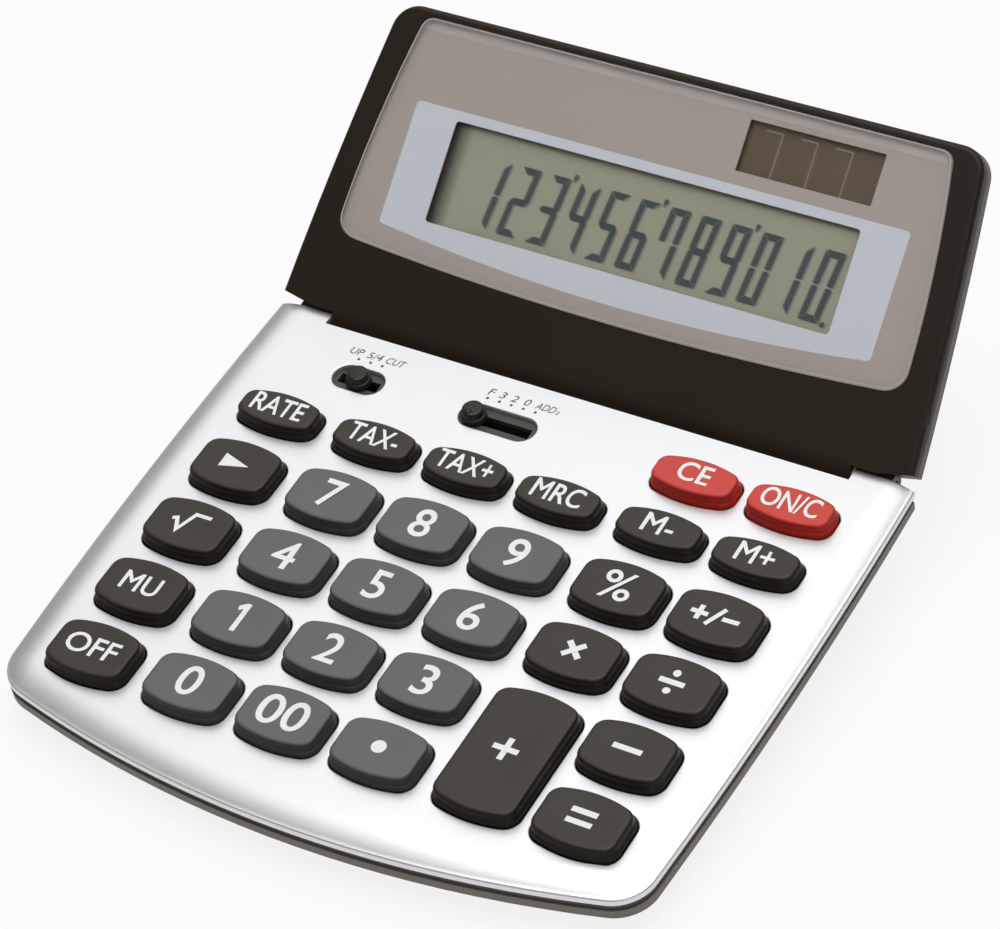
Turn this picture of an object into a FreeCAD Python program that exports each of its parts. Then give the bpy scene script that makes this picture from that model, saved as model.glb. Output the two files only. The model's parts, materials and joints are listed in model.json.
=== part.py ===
import FreeCAD, Part
import math
import os
import Sketcher

# A desk calculator: a wedge-shaped keyboard half and a display head that tilts on a barrel hinge.
# Panel frame: X to the right, Y to the rear, Z square to the key panel. Its origin is on the
# silver surface, at the middle of the line where the panel meets the display head.
# Head frame: origin on the hinge axis, Y up along the display face, Z out of the display face.
# Desk frame: level with the desk, for the feet and the battery bay.

SIZES = (
    ("tilt", 5.0, "slope of the key panel, degrees"),
    ("head_angle", 36.6, "display face against the key panel as it stands, degrees"),
    ("front_corner_x", 72.4, "half width of the panel where its side meets its front"),
    ("front_corner_y", 112.6, "reach of the panel at its front corners"),
    ("rear_half_width", 74.0, "half width of the panel at the hinge"),
    ("side_radius", 1166.0, "bow of the panel's sides"),
    ("front_radius", 261.0, "bow of the panel's front"),
    ("front_corner_radius", 9.0, "rounding of the front corners in plan"),
    ("tab_setback", 0.75, "how far the silver tabs stop short of the hinge line"),
    ("lip_depth", 2.9, "depth of the silver cover at its edge"),
    ("crown_width", 4.5, "width of the rolled edge of the cover"),
    ("crown_drop", 1.2, "drop of the rolled edge of the cover"),
    ("sheet_thickness", 0.9, "thickness of the cover over the keys"),
    ("cover_wall", 3.2, "width of the cover's wall at its edge"),
    ("case_band", 1.4, "height of the dark band under the cover"),
    ("band_inset", 0.3, "setback of the dark band"),
    ("seam", 0.05, "gap between shells"),
    ("deck_thickness", 1.2, "thickness of the deck under the cover"),
    ("deck_wall", 5.0, "width of the upper case's wall at its edge"),
    ("base_band", 2.05, "height of the grey band"),
    ("base_wall", 1.8, "width of the lower case's wall at its edge"),
    ("shelf_thickness", 1.5, "floor of the grey band"),
    ("rear_wall_y", 5.6, "front face of the wall before the hinge"),
    ("tub_half_width", 63.0, "half width of the tub"),
    ("tub_front", 110.0, "reach of the tub to the front"),
    ("tub_rear", 1.5, "reach of the tub behind the hinge line"),
    ("tub_corner_radius", 6.0, "rounding of the tub's upright corners"),
    ("tub_rear_radius", 2.0, "rounding of the tub's rear upright corners"),
    ("tub_edge_radius", 1.5, "rounding of the tub's bottom edge"),
    ("front_depth", 10.4, "depth of the tub's bottom at its front"),
    ("tub_wall", 1.6, "wall and floor of the tub"),
    ("foot_stand", 1.2, "height of the feet below the tub"),
    ("foot_recess", 0.5, "depth of the foot seats"),
    ("foot_radius", 5.0, "radius of a foot"),
    ("foot_x", 54.0, "feet from the middle"),
    ("foot_front", 14.0, "front feet from the tub's front"),
    ("foot_rear", 98.0, "rear feet from the tub's front"),
    ("hinge_y", 0.2, "hinge axis behind the hinge line"),
    ("hinge_drop", 2.78, "hinge axis below the silver surface"),
    ("barrel_radius", 3.55, "radius of the hinge barrel"),
    ("barrel_half_length", 60.8, "half length of the hinge barrel"),
    ("barrel_gap", 0.4, "space round the barrel"),
    ("notch_half_width", 61.4, "half width of the notch for the barrel"),
    ("notch_depth", 3.65, "reach of the notch in the cover"),
    ("knuckle_radius", 2.7, "radius of the hinge knuckles"),
    ("knuckle_end", 69.5, "outer end of the knuckles"),
    ("knuckle_gap", 0.3, "space round the knuckles"),
    ("pin_radius", 1.25, "radius of a hinge pin"),
    ("pin_start", 54.0, "inner end of a pin"),
    ("pin_end", 68.5, "outer end of a pin"),
    ("pin_play", 0.05, "running clearance of the pin in the barrel"),
    ("washer_radius", 2.6, "radius of a friction washer"),
    ("bore_radius", 2.4, "cable way through the barrel"),
    ("bore_half_length", 53.0, "half length of the cable way"),
    ("column_pitch", 21.6, "pitch of the number columns"),
    ("number_column", -32.2, "first number column"),
    ("left_column", -55.3, "left column"),
    ("operator_column", 33.9, "operator column"),
    ("right_column", 55.3, "right column"),
    ("row_pitch", 17.8, "pitch of the number rows"),
    ("number_row", 48.35, "row of 7, 8 and 9"),
    ("memory_row", 31.4, "row of the memory and tax keys"),
    ("clear_row", 16.35, "row of the two clearing keys"),
    ("key_width", 18.0, "width of a key"),
    ("key_depth", 13.2, "depth of a key"),
    ("small_key_depth", 9.1, "depth of a small key"),
    ("tall_key_depth", 30.6, "depth of the tall key"),
    ("key_bow", 1.7, "bow of a key's front and back edges"),
    ("key_corner_radius", 3.0, "rounding of a key in plan"),
    ("small_key_corner_radius", 2.5, "rounding of a small key in plan"),
    ("key_height", 3.1, "key top above the silver surface"),
    ("key_edge_radius", 0.8, "rounding of a key's top edge"),
    ("skirt_height", 1.0, "step of a key above the silver surface"),
    ("skirt_width", 0.35, "how far the step stands out"),
    ("key_gap", 0.3, "space round a key in the cover"),
    ("flange_width", 0.75, "how far the flange stands out past the step"),
    ("flange_thickness", 0.8, "thickness of the flange"),
    ("flange_gap", 0.1, "space over the flange"),
    ("key_wall", 1.2, "wall and top of a key"),
    ("plunger_radius", 1.9, "radius of a key's plunger"),
    ("dome_radius", 4.2, "foot of a rubber dome"),
    ("dome_top_radius", 2.4, "top of a rubber dome"),
    ("dome_height", 1.75, "height of a rubber dome"),
    ("dome_wall", 0.6, "wall of a rubber dome"),
    ("membrane_thickness", 0.6, "thickness of the rubber sheet"),
    ("board_thickness", 1.6, "thickness of the main board"),
    ("board_half_width", 61.0, "half width of the board and the rubber sheet"),
    ("board_front", 108.0, "reach of the board"),
    ("board_rear", 8.5, "rear edge of the board"),
    ("sheet_front", 107.5, "reach of the rubber sheet"),
    ("sheet_rear", 25.5, "rear edge of the rubber sheet beside the switches"),
    ("sheet_step_x", 22.0, "where the rubber sheet reaches back to the clearing keys"),
    ("sheet_rear_right", 9.0, "rear edge of the rubber sheet under the clearing keys"),
    ("chip_size", 16.0, "side of the sealed controller"),
    ("chip_thickness", 1.6, "thickness of the sealed controller"),
    ("chip_y", 62.0, "place of the controller"),
    ("screw_offset", 9.7, "front right screw past the third number column"),
    ("screw_rear_left", -30.5, "rear left screw"),
    ("screw_rear_right", 10.5, "rear right screw"),
    ("screw_rear_y", 15.25, "rear screws"),
    ("boss_radius", 2.3, "radius of a screw boss of the upper case"),
    ("boss_gap", 0.25, "space round a boss"),
    ("post_radius", 3.6, "radius of a screw post of the lower case"),
    ("screw_seat", 2.2, "material under a screw head"),
    ("screw_head_radius", 2.4, "radius of a screw head"),
    ("screw_head_height", 1.5, "height of a screw head"),
    ("screw_radius", 1.15, "radius of a screw"),
    ("screw_length", 5.4, "length of a screw under its head"),
    ("pilot_radius", 1.2, "radius of a screw's pilot hole"),
    ("pilot_depth", 3.6, "depth of a screw's pilot hole"),
    ("slot_width", 6.7, "width of a switch slot across its travel"),
    ("slot_corner_radius", 3.3, "rounding of a switch slot's ends"),
    ("slot_row", 15.6, "row of the switch slots"),
    ("rounding_x", -46.0, "middle of the rounding switch"),
    ("rounding_step", 2.8, "step of the rounding switch"),
    ("rounding_slot", 11.9, "length of the rounding slot"),
    ("decimal_x", -12.5, "middle of the decimal switch"),
    ("decimal_step", 2.8, "step of the decimal switch"),
    ("decimal_slot", 17.7, "length of the decimal slot"),
    ("knob_height", 2.4, "knob top above the silver surface"),
    ("knob_radius", 2.35, "radius of a knob"),
    ("knob_foot_radius", 2.75, "radius of a knob's foot"),
    ("knob_foot_height", 1.35, "height of a knob's foot"),
    ("knob_edge_radius", 0.35, "rounding of a knob's top"),
    ("knob_clearance", 0.2, "space under a knob"),
    ("stem_length", 3.0, "stem of a knob along its travel"),
    ("stem_width", 1.8, "stem of a knob across its travel"),
    ("stem_depth", 3.4, "stem of a knob below its foot"),
    ("stem_gap", 0.4, "space round a stem"),
    ("switch_height", 2.85, "height of a switch body"),
    ("switch_width", 6.5, "width of a switch body"),
    ("switch_wall", 1.6, "end wall of a switch body"),
    ("switch_floor", 0.8, "floor of a switch body"),
    ("battery_x", 36.0, "middle of the battery bay"),
    ("battery_back", 82.0, "middle of the battery bay from the tub's front"),
    ("bay_block_x", 12.0, "half width of the bay's block"),
    ("bay_block_y", 10.5, "half depth of the bay's block"),
    ("bay_roof", 1.0, "roof of the bay"),
    ("bay_side", 0.6, "space beside the cell for its side contact"),
    ("bay_gap", 0.3, "space before and behind the cell"),
    ("cell_radius", 5.8, "radius of the button cell"),
    ("cell_height", 5.4, "height of the button cell"),
    ("contact_thickness", 0.6, "height of the top contact"),
    ("contact_radius", 3.0, "radius of the top contact"),
    ("contact_half_width", 2.5, "half width of the side contact"),
    ("door_half_x", 10.0, "half width of the battery door"),
    ("door_half_y", 8.5, "half depth of the battery door"),
    ("door_thickness", 1.4, "thickness of the battery door"),
    ("door_gap", 0.2, "space round the battery door"),
    ("door_inset", 0.1, "setback of the battery door"),
    ("face_height", 4.1, "display face above the hinge axis"),
    ("head_start", 1.4, "lower edge of the head beside the barrel"),
    ("head_crease", 2.04, "lower edge of the display face over the barrel"),
    ("shoulder_reach", 1.9, "foot of the face's rounding on the barrel, in front of the hinge axis"),
    ("shoulder_level", 2.9, "height of that foot over the hinge axis"),
    ("head_height", 68.7, "upper edge of the head"),
    ("head_half_width", 73.9, "half width of the head at its foot"),
    ("head_top_half_width", 68.1, "half width of the head at its top"),
    ("head_side_radius", 930.0, "bow of the head's sides"),
    ("head_corner_radius", 6.0, "rounding of the head's upper corners"),
    ("head_rise_x", 66.0, "where the head's lower edge starts to rise"),
    ("head_rise", 1.5, "rise of the head's lower edge at its ends"),
    ("bezel_depth", 2.8, "depth of the front shell"),
    ("bezel_edge_radius", 1.2, "rounding of the front shell"),
    ("bezel_wall", 1.8, "wall of the front shell"),
    ("bezel_face", 0.9, "thickness of the front shell behind the window"),
    ("back_depth", 2.4, "depth of the rear cover's rim"),
    ("back_wall", 1.6, "wall of the rear cover"),
    ("back_floor", 1.5, "floor of the rear cover"),
    ("back_start", 4.2, "lower edge of the rear cover over the barrel"),
    ("hump_depth", 3.8, "depth of the rear cover's raised middle"),
    ("hump_half_width", 62.0, "half width of the raised middle"),
    ("hump_start", 9.0, "lower edge of the raised middle"),
    ("hump_end", 63.0, "upper edge of the raised middle"),
    ("hump_corner_radius", 8.0, "rounding of the raised middle in plan"),
    ("hump_edge_radius", 2.0, "rounding of the raised middle's edge"),
    ("lens_top", 67.0, "upper edge of the window"),
    ("lens_top_half_width", 61.5, "half width of the window at its top"),
    ("lens_corner_y", 17.7, "lower corners of the window"),
    ("lens_corner_x", 66.6, "half width of the window at its lower corners"),
    ("lens_side_radius", 267.0, "bow of the window's sides"),
    ("lens_bottom_radius", 777.0, "bow of the window's lower edge"),
    ("lens_corner_radius", 5.0, "rounding of the window's lower corners"),
    ("lens_top_corner_radius", 3.0, "rounding of the window's upper corners"),
    ("lens_gap", 0.1, "space round the window"),
    ("lens_thickness", 1.1, "thickness of the window"),
    ("mask_thickness", 0.3, "thickness of the printed sheet"),
    ("lcd_window_width", 94.4, "width of the display opening"),
    ("lcd_window_height", 22.1, "height of the display opening"),
    ("lcd_y", 36.1, "middle of the display opening"),
    ("lcd_width", 104.0, "width of the display glass"),
    ("lcd_height", 26.0, "height of the display glass"),
    ("lcd_thickness", 2.1, "thickness of the display glass"),
    ("solar_window_width", 30.6, "width of the solar opening"),
    ("solar_window_height", 10.9, "height of the solar opening"),
    ("solar_x", 32.2, "middle of the solar opening"),
    ("solar_y", 57.6, "middle of the solar opening"),
    ("solar_width", 36.0, "width of the solar cell"),
    ("solar_height", 14.0, "height of the solar cell"),
    ("solar_thickness", 1.1, "thickness of the solar cell"),
    ("holder_wall", 1.2, "wall of the display carrier"),
    ("holder_gap", 0.1, "space round the display glass"),
    ("strip_inset", 0.5, "elastomer strip from the edge of the glass"),
    ("strip_width", 2.0, "width of an elastomer strip"),
    ("strip_half_length", 50.0, "half length of an elastomer strip"),
    ("head_board_half_width", 50.0, "half width of the head's board"),
    ("head_board_half_height", 14.5, "half height of the head's board"),
    ("head_board_thickness", 1.2, "thickness of the head's board"),
    ("head_screw_x", 57.0, "head screws from the middle"),
    ("head_screw_low", 15.5, "lower head screws"),
    ("head_screw_high", 57.0, "upper head screws"),
    ("head_boss_radius", 2.6, "radius of a screw boss of the front shell"),
    ("head_boss_end", 2.6, "end of the screw bosses behind the hinge axis"),
    ("head_post_radius", 3.0, "radius of a screw post of the rear cover"),
    ("head_screw_recess", 1.2, "depth of a head screw's recess"),
    ("head_screw_head_radius", 2.1, "radius of a head screw's head"),
    ("head_screw_head_height", 1.0, "height of a head screw's head"),
    ("head_screw_radius", 1.0, "radius of a head screw"),
    ("head_screw_length", 4.0, "length of a head screw under its head"),
    ("cable_half_width", 6.0, "half width of the flat cable"),
    ("cable_thickness", 0.4, "thickness of the flat cable"),
    ("cable_way", 1.2, "space round the flat cable"),
    ("cable_board_length", 3.4, "length of the flat cable on a board"),
    ("slot_rise", 16.0, "upper end of the slot that the cable turns in, over the display face, degrees"),
    ("slot_fall", 28.0, "lower end of that slot, from the line straight back, degrees"),
)


class Size:
    """A number together with the formula, in the sheet's names, that gives it."""

    def __init__(self, value, text):
        self.value = float(value)
        self.text = text

    def __add__(self, other):
        other = as_size(other)
        return Size(self.value + other.value, f"({self.text} + {other.text})")

    def __radd__(self, other):
        return as_size(other) + self

    def __sub__(self, other):
        other = as_size(other)
        return Size(self.value - other.value, f"({self.text} - {other.text})")

    def __rsub__(self, other):
        return as_size(other) - self

    def __mul__(self, other):
        other = as_size(other)
        return Size(self.value * other.value, f"({self.text} * {other.text})")

    def __rmul__(self, other):
        return as_size(other) * self

    def __truediv__(self, other):
        other = as_size(other)
        return Size(self.value / other.value, f"({self.text} / {other.text})")

    def __neg__(self):
        return Size(-self.value, f"(0 - {self.text})")


def as_size(number):
    """The number itself if it is a Size, or else a Size of that fixed number."""
    return number if isinstance(number, Size) else Size(number, repr(float(number)))


def sine(angle):
    """The sine of a Size in degrees."""
    return Size(math.sin(math.radians(angle.value)), f"sin({angle.text})")


def cosine(angle):
    """The cosine of a Size in degrees."""
    return Size(math.cos(math.radians(angle.value)), f"cos({angle.text})")


def root(size):
    """The square root of a Size."""
    return Size(math.sqrt(size.value), f"sqrt({size.text})")


def arc_tangent(size):
    """The angle, in degrees, whose tangent is a Size."""
    return Size(math.degrees(math.atan(size.value)), f"atan({size.text}) / 1 deg")


def bow_radius(half_chord, bow):
    """Radius of an arc over a chord, from half the chord and the arc's rise."""
    return (half_chord * half_chord + bow * bow) / (bow * 2)


class Sheet:
    """The driving dimensions, in a spreadsheet with one alias for each."""

    def __init__(self, document, rows):
        self.values = {}
        sheet = document.addObject("Spreadsheet::Sheet", "sizes")
        for line, (name, value, meaning) in enumerate(rows, start=1):
            sheet.set(f"A{line}", name)
            sheet.set(f"B{line}", str(value))
            sheet.set(f"C{line}", meaning)
            sheet.setAlias(f"B{line}", name)
            self.values[name] = value
        document.recompute()

    def __getattr__(self, name):
        return Size(self.values[name], "sizes." + name)


class Loop:
    """A closed run of lines and arcs, drawn anticlockwise, whose corners are Sizes."""

    def __init__(self, x, y):
        self.corners = [(as_size(x), as_size(y))]
        self.runs = []

    def line(self, x, y):
        self.runs.append(None)
        self.corners.append((as_size(x), as_size(y)))
        return self

    def arc(self, x, y, radius):
        self.runs.append(as_size(radius))
        self.corners.append((as_size(x), as_size(y)))
        return self

    def close(self, radius=None):
        self.runs.append(None if radius is None else as_size(radius))
        return self


def box_loop(low_x, low_y, high_x, high_y):
    """A rectangle between two corners."""
    return Loop(low_x, low_y).line(high_x, low_y).line(high_x, high_y).line(low_x, high_y).close()


def middle_loop(x, y, half_x, half_y):
    """A rectangle about a point."""
    return box_loop(x - half_x, y - half_y, x + half_x, y + half_y)


def arc_between(start, end, radius):
    """The anticlockwise arc of under a half turn from one point to another."""
    middle = (start + end) * 0.5
    chord = end - start
    side = V(-chord.y, chord.x, 0).normalize()
    centre = middle + side * math.sqrt(radius * radius - (chord.Length / 2) ** 2)
    first = math.atan2(start.y - centre.y, start.x - centre.x)
    last = math.atan2(end.y - centre.y, end.x - centre.x)
    return Part.ArcOfCircle(Part.Circle(centre, V(0, 0, 1), radius), first, last)


def pin_point(rules, formulas, geometry, position, x, y):
    """Ties a sketch point to its two Sizes."""
    for kind, size, axis in (("DistanceX", x, -2), ("DistanceY", y, -1)):
        if size.text == "0.0":
            rules.append(Sketcher.Constraint("PointOnObject", geometry, position, axis))
            continue
        formulas.append((len(rules), size.text))
        rules.append(Sketcher.Constraint(kind, -1, 1, geometry, position, size.value))


def draw(sketch, loops=(), circles=()):
    """Draws loops and circles (x, y, radius) in a sketch, with every size tied to the sheet."""
    shapes = []
    rules = []
    formulas = []
    for loop in loops:
        first = len(shapes)
        count = len(loop.runs)
        for index, radius in enumerate(loop.runs):
            start = V(loop.corners[index][0].value, loop.corners[index][1].value, 0)
            after = loop.corners[(index + 1) % count]
            end = V(after[0].value, after[1].value, 0)
            shapes.append(
                Part.LineSegment(start, end) if radius is None else arc_between(start, end, radius.value)
            )
            rules.append(
                Sketcher.Constraint("Coincident", first + index, 2, first + (index + 1) % count, 1)
            )
        for index, radius in enumerate(loop.runs):
            pin_point(rules, formulas, first + index, 1, *loop.corners[index])
            if radius is not None:
                formulas.append((len(rules), radius.text))
                rules.append(Sketcher.Constraint("Radius", first + index, radius.value))
    for x, y, radius in circles:
        x, y, radius = as_size(x), as_size(y), as_size(radius)
        shapes.append(Part.Circle(V(x.value, y.value, 0), V(0, 0, 1), radius.value))
        pin_point(rules, formulas, len(shapes) - 1, 3, x, y)
        formulas.append((len(rules), radius.text))
        rules.append(Sketcher.Constraint("Radius", len(shapes) - 1, radius.value))
    sketch.addGeometry(shapes, False)
    sketch.addConstraint(rules)
    for index, text in formulas:
        sketch.setExpression(f"Constraints[{index}]", text)


def tie(item, path, size):
    """Binds one property of a document object to the sheet."""
    item.setExpression(path, as_size(size).text)


def place(item, x, y, z, turn=None):
    """Puts a piece at a point of the object's frame, turned about X."""
    x, y, z = as_size(x), as_size(y), as_size(z)
    angle = 0.0 if turn is None else turn.value
    item.Placement = FreeCAD.Placement(
        V(x.value, y.value, z.value), FreeCAD.Rotation(V(1, 0, 0), angle)
    )
    tie(item, "Placement.Base.x", x)
    tie(item, "Placement.Base.y", y)
    tie(item, "Placement.Base.z", z)
    if turn is not None:
        tie(item, "Placement.Rotation.Angle", turn)


V = FreeCAD.Vector
doc = FreeCAD.newDocument("desk_calculator")
S = Sheet(doc, SIZES)

# Levels square to the panel, below the silver surface
DECK_TOP = -(S.sheet_thickness + S.seam)
DECK_BOTTOM = DECK_TOP - S.deck_thickness
COVER_EDGE = -S.lip_depth
CASE_EDGE = COVER_EDGE - S.case_band
BASE_TOP = CASE_EDGE - S.seam
BASE_EDGE = BASE_TOP - S.base_band
FLANGE_TOP = DECK_BOTTOM - S.flange_gap
FLANGE_BOTTOM = FLANGE_TOP - S.flange_thickness
DOME_TOP = FLANGE_BOTTOM - S.flange_gap * 2
SHEET_TOP = DOME_TOP - S.dome_height
BOARD_TOP = SHEET_TOP - S.membrane_thickness
BOARD_BOTTOM = BOARD_TOP - S.board_thickness
SCREW_SEAT = BOARD_BOTTOM - S.screw_seat

# Levels square to the display face, from the hinge axis
MASK_TOP = S.face_height - S.seam - S.lens_thickness
MASK_BOTTOM = MASK_TOP - S.mask_thickness
FACE_BACK = MASK_BOTTOM - S.bezel_face
BEZEL_BACK = S.face_height - S.bezel_depth
BACK_FRONT = BEZEL_BACK - S.seam
BACK_EDGE = BACK_FRONT - S.back_depth
HUMP_BACK = BACK_EDGE - S.hump_depth
BACK_FLOOR = BACK_EDGE + S.back_floor
HUMP_FLOOR = HUMP_BACK + S.back_floor
LCD_BACK = FACE_BACK - S.lcd_thickness
HEAD_BOARD_FRONT = HUMP_FLOOR + S.head_board_thickness
HEAD_SEAT = HUMP_BACK + S.head_screw_recess

# The object's frame stands on the desk, under the middle of the whole
FRONT_REACH = S.front_corner_y + S.front_radius - root(
    S.front_radius * S.front_radius - S.front_corner_x * S.front_corner_x
)
LIFT = S.foot_stand + S.tub_front * sine(S.tilt) + S.front_depth * cosine(S.tilt)
HINGE_BACK = S.hinge_y * cosine(S.tilt) + S.hinge_drop * sine(S.tilt)
HINGE_UP = S.hinge_y * sine(S.tilt) - S.hinge_drop * cosine(S.tilt)
HEAD_TURN = S.tilt + S.head_angle
FOREMOST = S.crown_drop * sine(S.tilt) - FRONT_REACH * cosine(S.tilt)
REARMOST = HINGE_BACK + S.head_height * cosine(HEAD_TURN) - BACK_EDGE * sine(HEAD_TURN)
SHIFT = (FOREMOST + REARMOST) / -2

# Heights over the tub's bottom, square to the desk
CELL_FOOT = S.door_inset + S.door_thickness
CELL_TOP = CELL_FOOT + S.cell_height
BAY_TOP = CELL_TOP + S.contact_thickness

pieces = []


def on_panel(item, x=0.0, y=0.0, z=0.0):
    """Places a piece whose own frame lies along the panel, at a point of the panel frame."""
    x, y, z = as_size(x), as_size(y), as_size(z)
    back = SHIFT + y * cosine(S.tilt) - z * sine(S.tilt)
    up = LIFT + y * sine(S.tilt) + z * cosine(S.tilt)
    place(item, x, back, up, S.tilt)


def on_desk(item, x, back, height):
    """Places a level piece by its distance behind the tub's front and over the tub's bottom."""
    front = SHIFT - S.tub_front * cosine(S.tilt) + S.front_depth * sine(S.tilt)
    place(item, x, front + back, S.foot_stand + height)


def in_head(item):
    """Places a piece of the display head, whose own frame has its origin on the hinge axis."""
    place(item, 0.0, SHIFT + HINGE_BACK, LIFT + HINGE_UP, HEAD_TURN)


def new_body(name, several=False):
    """A sub-part, kept for the export. With several it may hold separate solids."""
    body = doc.addObject("PartDesign::Body", name)
    body.Label = name
    body.AllowCompound = several
    pieces.append(body)
    return body


def new_sketch(body, name, plane, height=0.0):
    """A sketch on one of the body's own origin planes, moved along the plane's normal."""
    sketch = body.newObject("Sketcher::SketchObject", f"{body.Name}_{name}")
    origin = [item for item in body.Origin.OriginFeatures if item.Role == plane][0]
    sketch.AttachmentSupport = [(origin, "")]
    sketch.MapMode = "FlatFace"
    height = as_size(height)
    sketch.AttachmentOffset = FreeCAD.Placement(V(0, 0, height.value), FreeCAD.Rotation())
    tie(sketch, "AttachmentOffset.Base.z", height)
    return sketch


def desk_sketch(body, name, height):
    """A level sketch in a body that lies along the panel. Its Y runs back from the tub's front."""
    height = as_size(height)
    sketch = new_sketch(body, name, "XY_Plane")
    back = height * sine(S.tilt) - S.tub_front
    up = height * cosine(S.tilt) - S.front_depth
    sketch.AttachmentOffset = FreeCAD.Placement(
        V(0, back.value, up.value), FreeCAD.Rotation(V(-1, 0, 0), S.tilt.value)
    )
    tie(sketch, "AttachmentOffset.Base.y", back)
    tie(sketch, "AttachmentOffset.Base.z", up)
    tie(sketch, "AttachmentOffset.Rotation.Angle", S.tilt)
    return sketch


def pad(sketch, length, back=False, both=False, taper=None):
    """Adds the sketch's area, along its normal, against it, or to both sides alike."""
    body = sketch.getParentGeoFeatureGroup()
    feature = body.newObject("PartDesign::Pad", sketch.Name + "_pad")
    feature.Profile = sketch
    feature.Reversed = back
    feature.SideType = "Symmetric" if both else "One side"
    tie(feature, "Length", length)
    if taper is not None:
        tie(feature, "TaperAngle", taper)
    return feature


def pocket(sketch, length, up=False, both=False, taper=None):
    """Cuts the sketch's area, against its normal, along it, or to both sides alike."""
    body = sketch.getParentGeoFeatureGroup()
    feature = body.newObject("PartDesign::Pocket", sketch.Name + "_cut")
    feature.Profile = sketch
    feature.Reversed = up
    feature.SideType = "Symmetric" if both else "One side"
    tie(feature, "Length", length)
    if taper is not None:
        tie(feature, "TaperAngle", taper)
    return feature


def corners_of(loop, *numbers):
    """Some of a loop's corners, by their numbers."""
    return [loop.corners[number] for number in numbers]


def upright_at(shape, corners):
    """Names of the upright edges that stand on the corners."""
    places = [(x.value, y.value) for x, y in corners]
    names = []
    for index, edge in enumerate(shape.Edges, start=1):
        foot = edge.Vertexes[0].Point
        top = edge.Vertexes[-1].Point
        if abs(foot.z - top.z) < 0.1 or math.hypot(foot.x - top.x, foot.y - top.y) > 1e-4:
            continue
        if any(math.hypot(foot.x - x, foot.y - y) < 1e-3 for x, y in places):
            names.append(f"Edge{index}")
    return names


def flat_at(shape, height, test=lambda middle: True):
    """Names of the edges that lie at one height and pass a test on their middle."""
    names = []
    for index, edge in enumerate(shape.Edges, start=1):
        box = edge.BoundBox
        if abs(box.ZMin - height) > 1e-4 or abs(box.ZMax - height) > 1e-4:
            continue
        middle = edge.valueAt((edge.FirstParameter + edge.LastParameter) / 2)
        if test(middle):
            names.append(f"Edge{index}")
    return names


def round_corners(body, name, radius, corners):
    """Rounds the upright edges that stand on the corners."""
    doc.recompute()
    base = body.Tip
    feature = body.newObject("PartDesign::Fillet", f"{body.Name}_{name}")
    feature.Base = (base, upright_at(base.Shape, corners))
    tie(feature, "Radius", radius)
    return feature


def round_level(body, name, radius, height, test=lambda middle: True):
    """Rounds the edges that lie at one height."""
    doc.recompute()
    base = body.Tip
    feature = body.newObject("PartDesign::Fillet", f"{body.Name}_{name}")
    feature.Base = (base, flat_at(base.Shape, height.value, test))
    tie(feature, "Radius", radius)
    return feature


# Outlines

def panel_loop(inset, rear):
    """The panel's bowed outline, set in all round, and cut straight at the rear."""
    side = S.front_corner_x - inset
    front = inset - S.front_corner_y
    back = S.rear_half_width - inset
    return (
        Loop(-side, front)
        .arc(side, front, S.front_radius - inset)
        .arc(back, rear, S.side_radius - inset)
        .line(-back, rear)
        .close(S.side_radius - inset)
    )


def key_corner(depth, grow):
    """Rounding of a key outline in plan."""
    small = depth.text == S.small_key_depth.text
    return (S.small_key_corner_radius if small else S.key_corner_radius) + grow


def rounded_box_loop(low_x, low_y, high_x, high_y, radius):
    """A rectangle between two corners, with its own corners rounded."""
    return (
        Loop(low_x + radius, low_y)
        .line(high_x - radius, low_y)
        .arc(high_x, low_y + radius, radius)
        .line(high_x, high_y - radius)
        .arc(high_x - radius, high_y, radius)
        .line(low_x + radius, high_y)
        .arc(low_x, high_y - radius, radius)
        .line(low_x, low_y + radius)
        .close(radius)
    )


def key_loop(x, y, depth, grow):
    """A barrel-shaped key outline about a point: straight sides, bowed front and back.

    A corner's centre lies its own radius inside the side, and on the circle that is parallel to
    the bowed edge at that distance. The corner meets the bowed edge on the line through both centres.
    """
    wide = S.key_width / 2 + grow
    deep = depth / 2 + grow
    round_off = key_corner(depth, grow)
    bow = bow_radius(wide, S.key_bow)
    centre = deep - bow
    corner_x = wide - round_off
    reach = bow - round_off
    corner_y = centre + root(reach * reach - corner_x * corner_x)
    meet_x = corner_x * bow / reach
    meet_y = centre + (corner_y - centre) * bow / reach
    return (
        Loop(x - meet_x, y - meet_y)
        .arc(x + meet_x, y - meet_y, bow)
        .arc(x + wide, y - corner_y, round_off)
        .line(x + wide, y + corner_y)
        .arc(x + meet_x, y + meet_y, round_off)
        .arc(x - meet_x, y + meet_y, bow)
        .arc(x - wide, y + corner_y, round_off)
        .line(x - wide, y - corner_y)
        .close(round_off)
    )


def head_loop(inset, crease):
    """The head's outline: bowed sides that lean in, and a lower edge that rises at its ends."""
    foot = S.head_half_width - inset
    top = S.head_top_half_width - inset
    low = S.head_start + S.head_rise + inset
    high = S.head_height - inset
    start = S.head_start + inset
    bow = S.head_side_radius - inset
    gap = S.barrel_half_length + inset
    return (
        Loop(-S.head_rise_x, start)
        .line(-gap, start)
        .line(-gap, crease)
        .line(gap, crease)
        .line(gap, start)
        .line(S.head_rise_x, start)
        .line(foot, low)
        .arc(top, high, bow)
        .line(-top, high)
        .arc(-foot, low, bow)
        .close()
    )


def lens_loop(inset):
    """The window's outline: flat top, bowed sides and a lower edge that hangs in the middle."""
    top = S.lens_top_half_width - inset
    high = S.lens_top - inset
    low_x = S.lens_corner_x - inset
    low_y = S.lens_corner_y + inset
    return (
        Loop(-low_x, low_y)
        .arc(low_x, low_y, S.lens_bottom_radius - inset)
        .arc(top, high, S.lens_side_radius - inset)
        .line(-top, high)
        .close(S.lens_side_radius - inset)
    )


# Keys: name, column, row, depth of the cap

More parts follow.
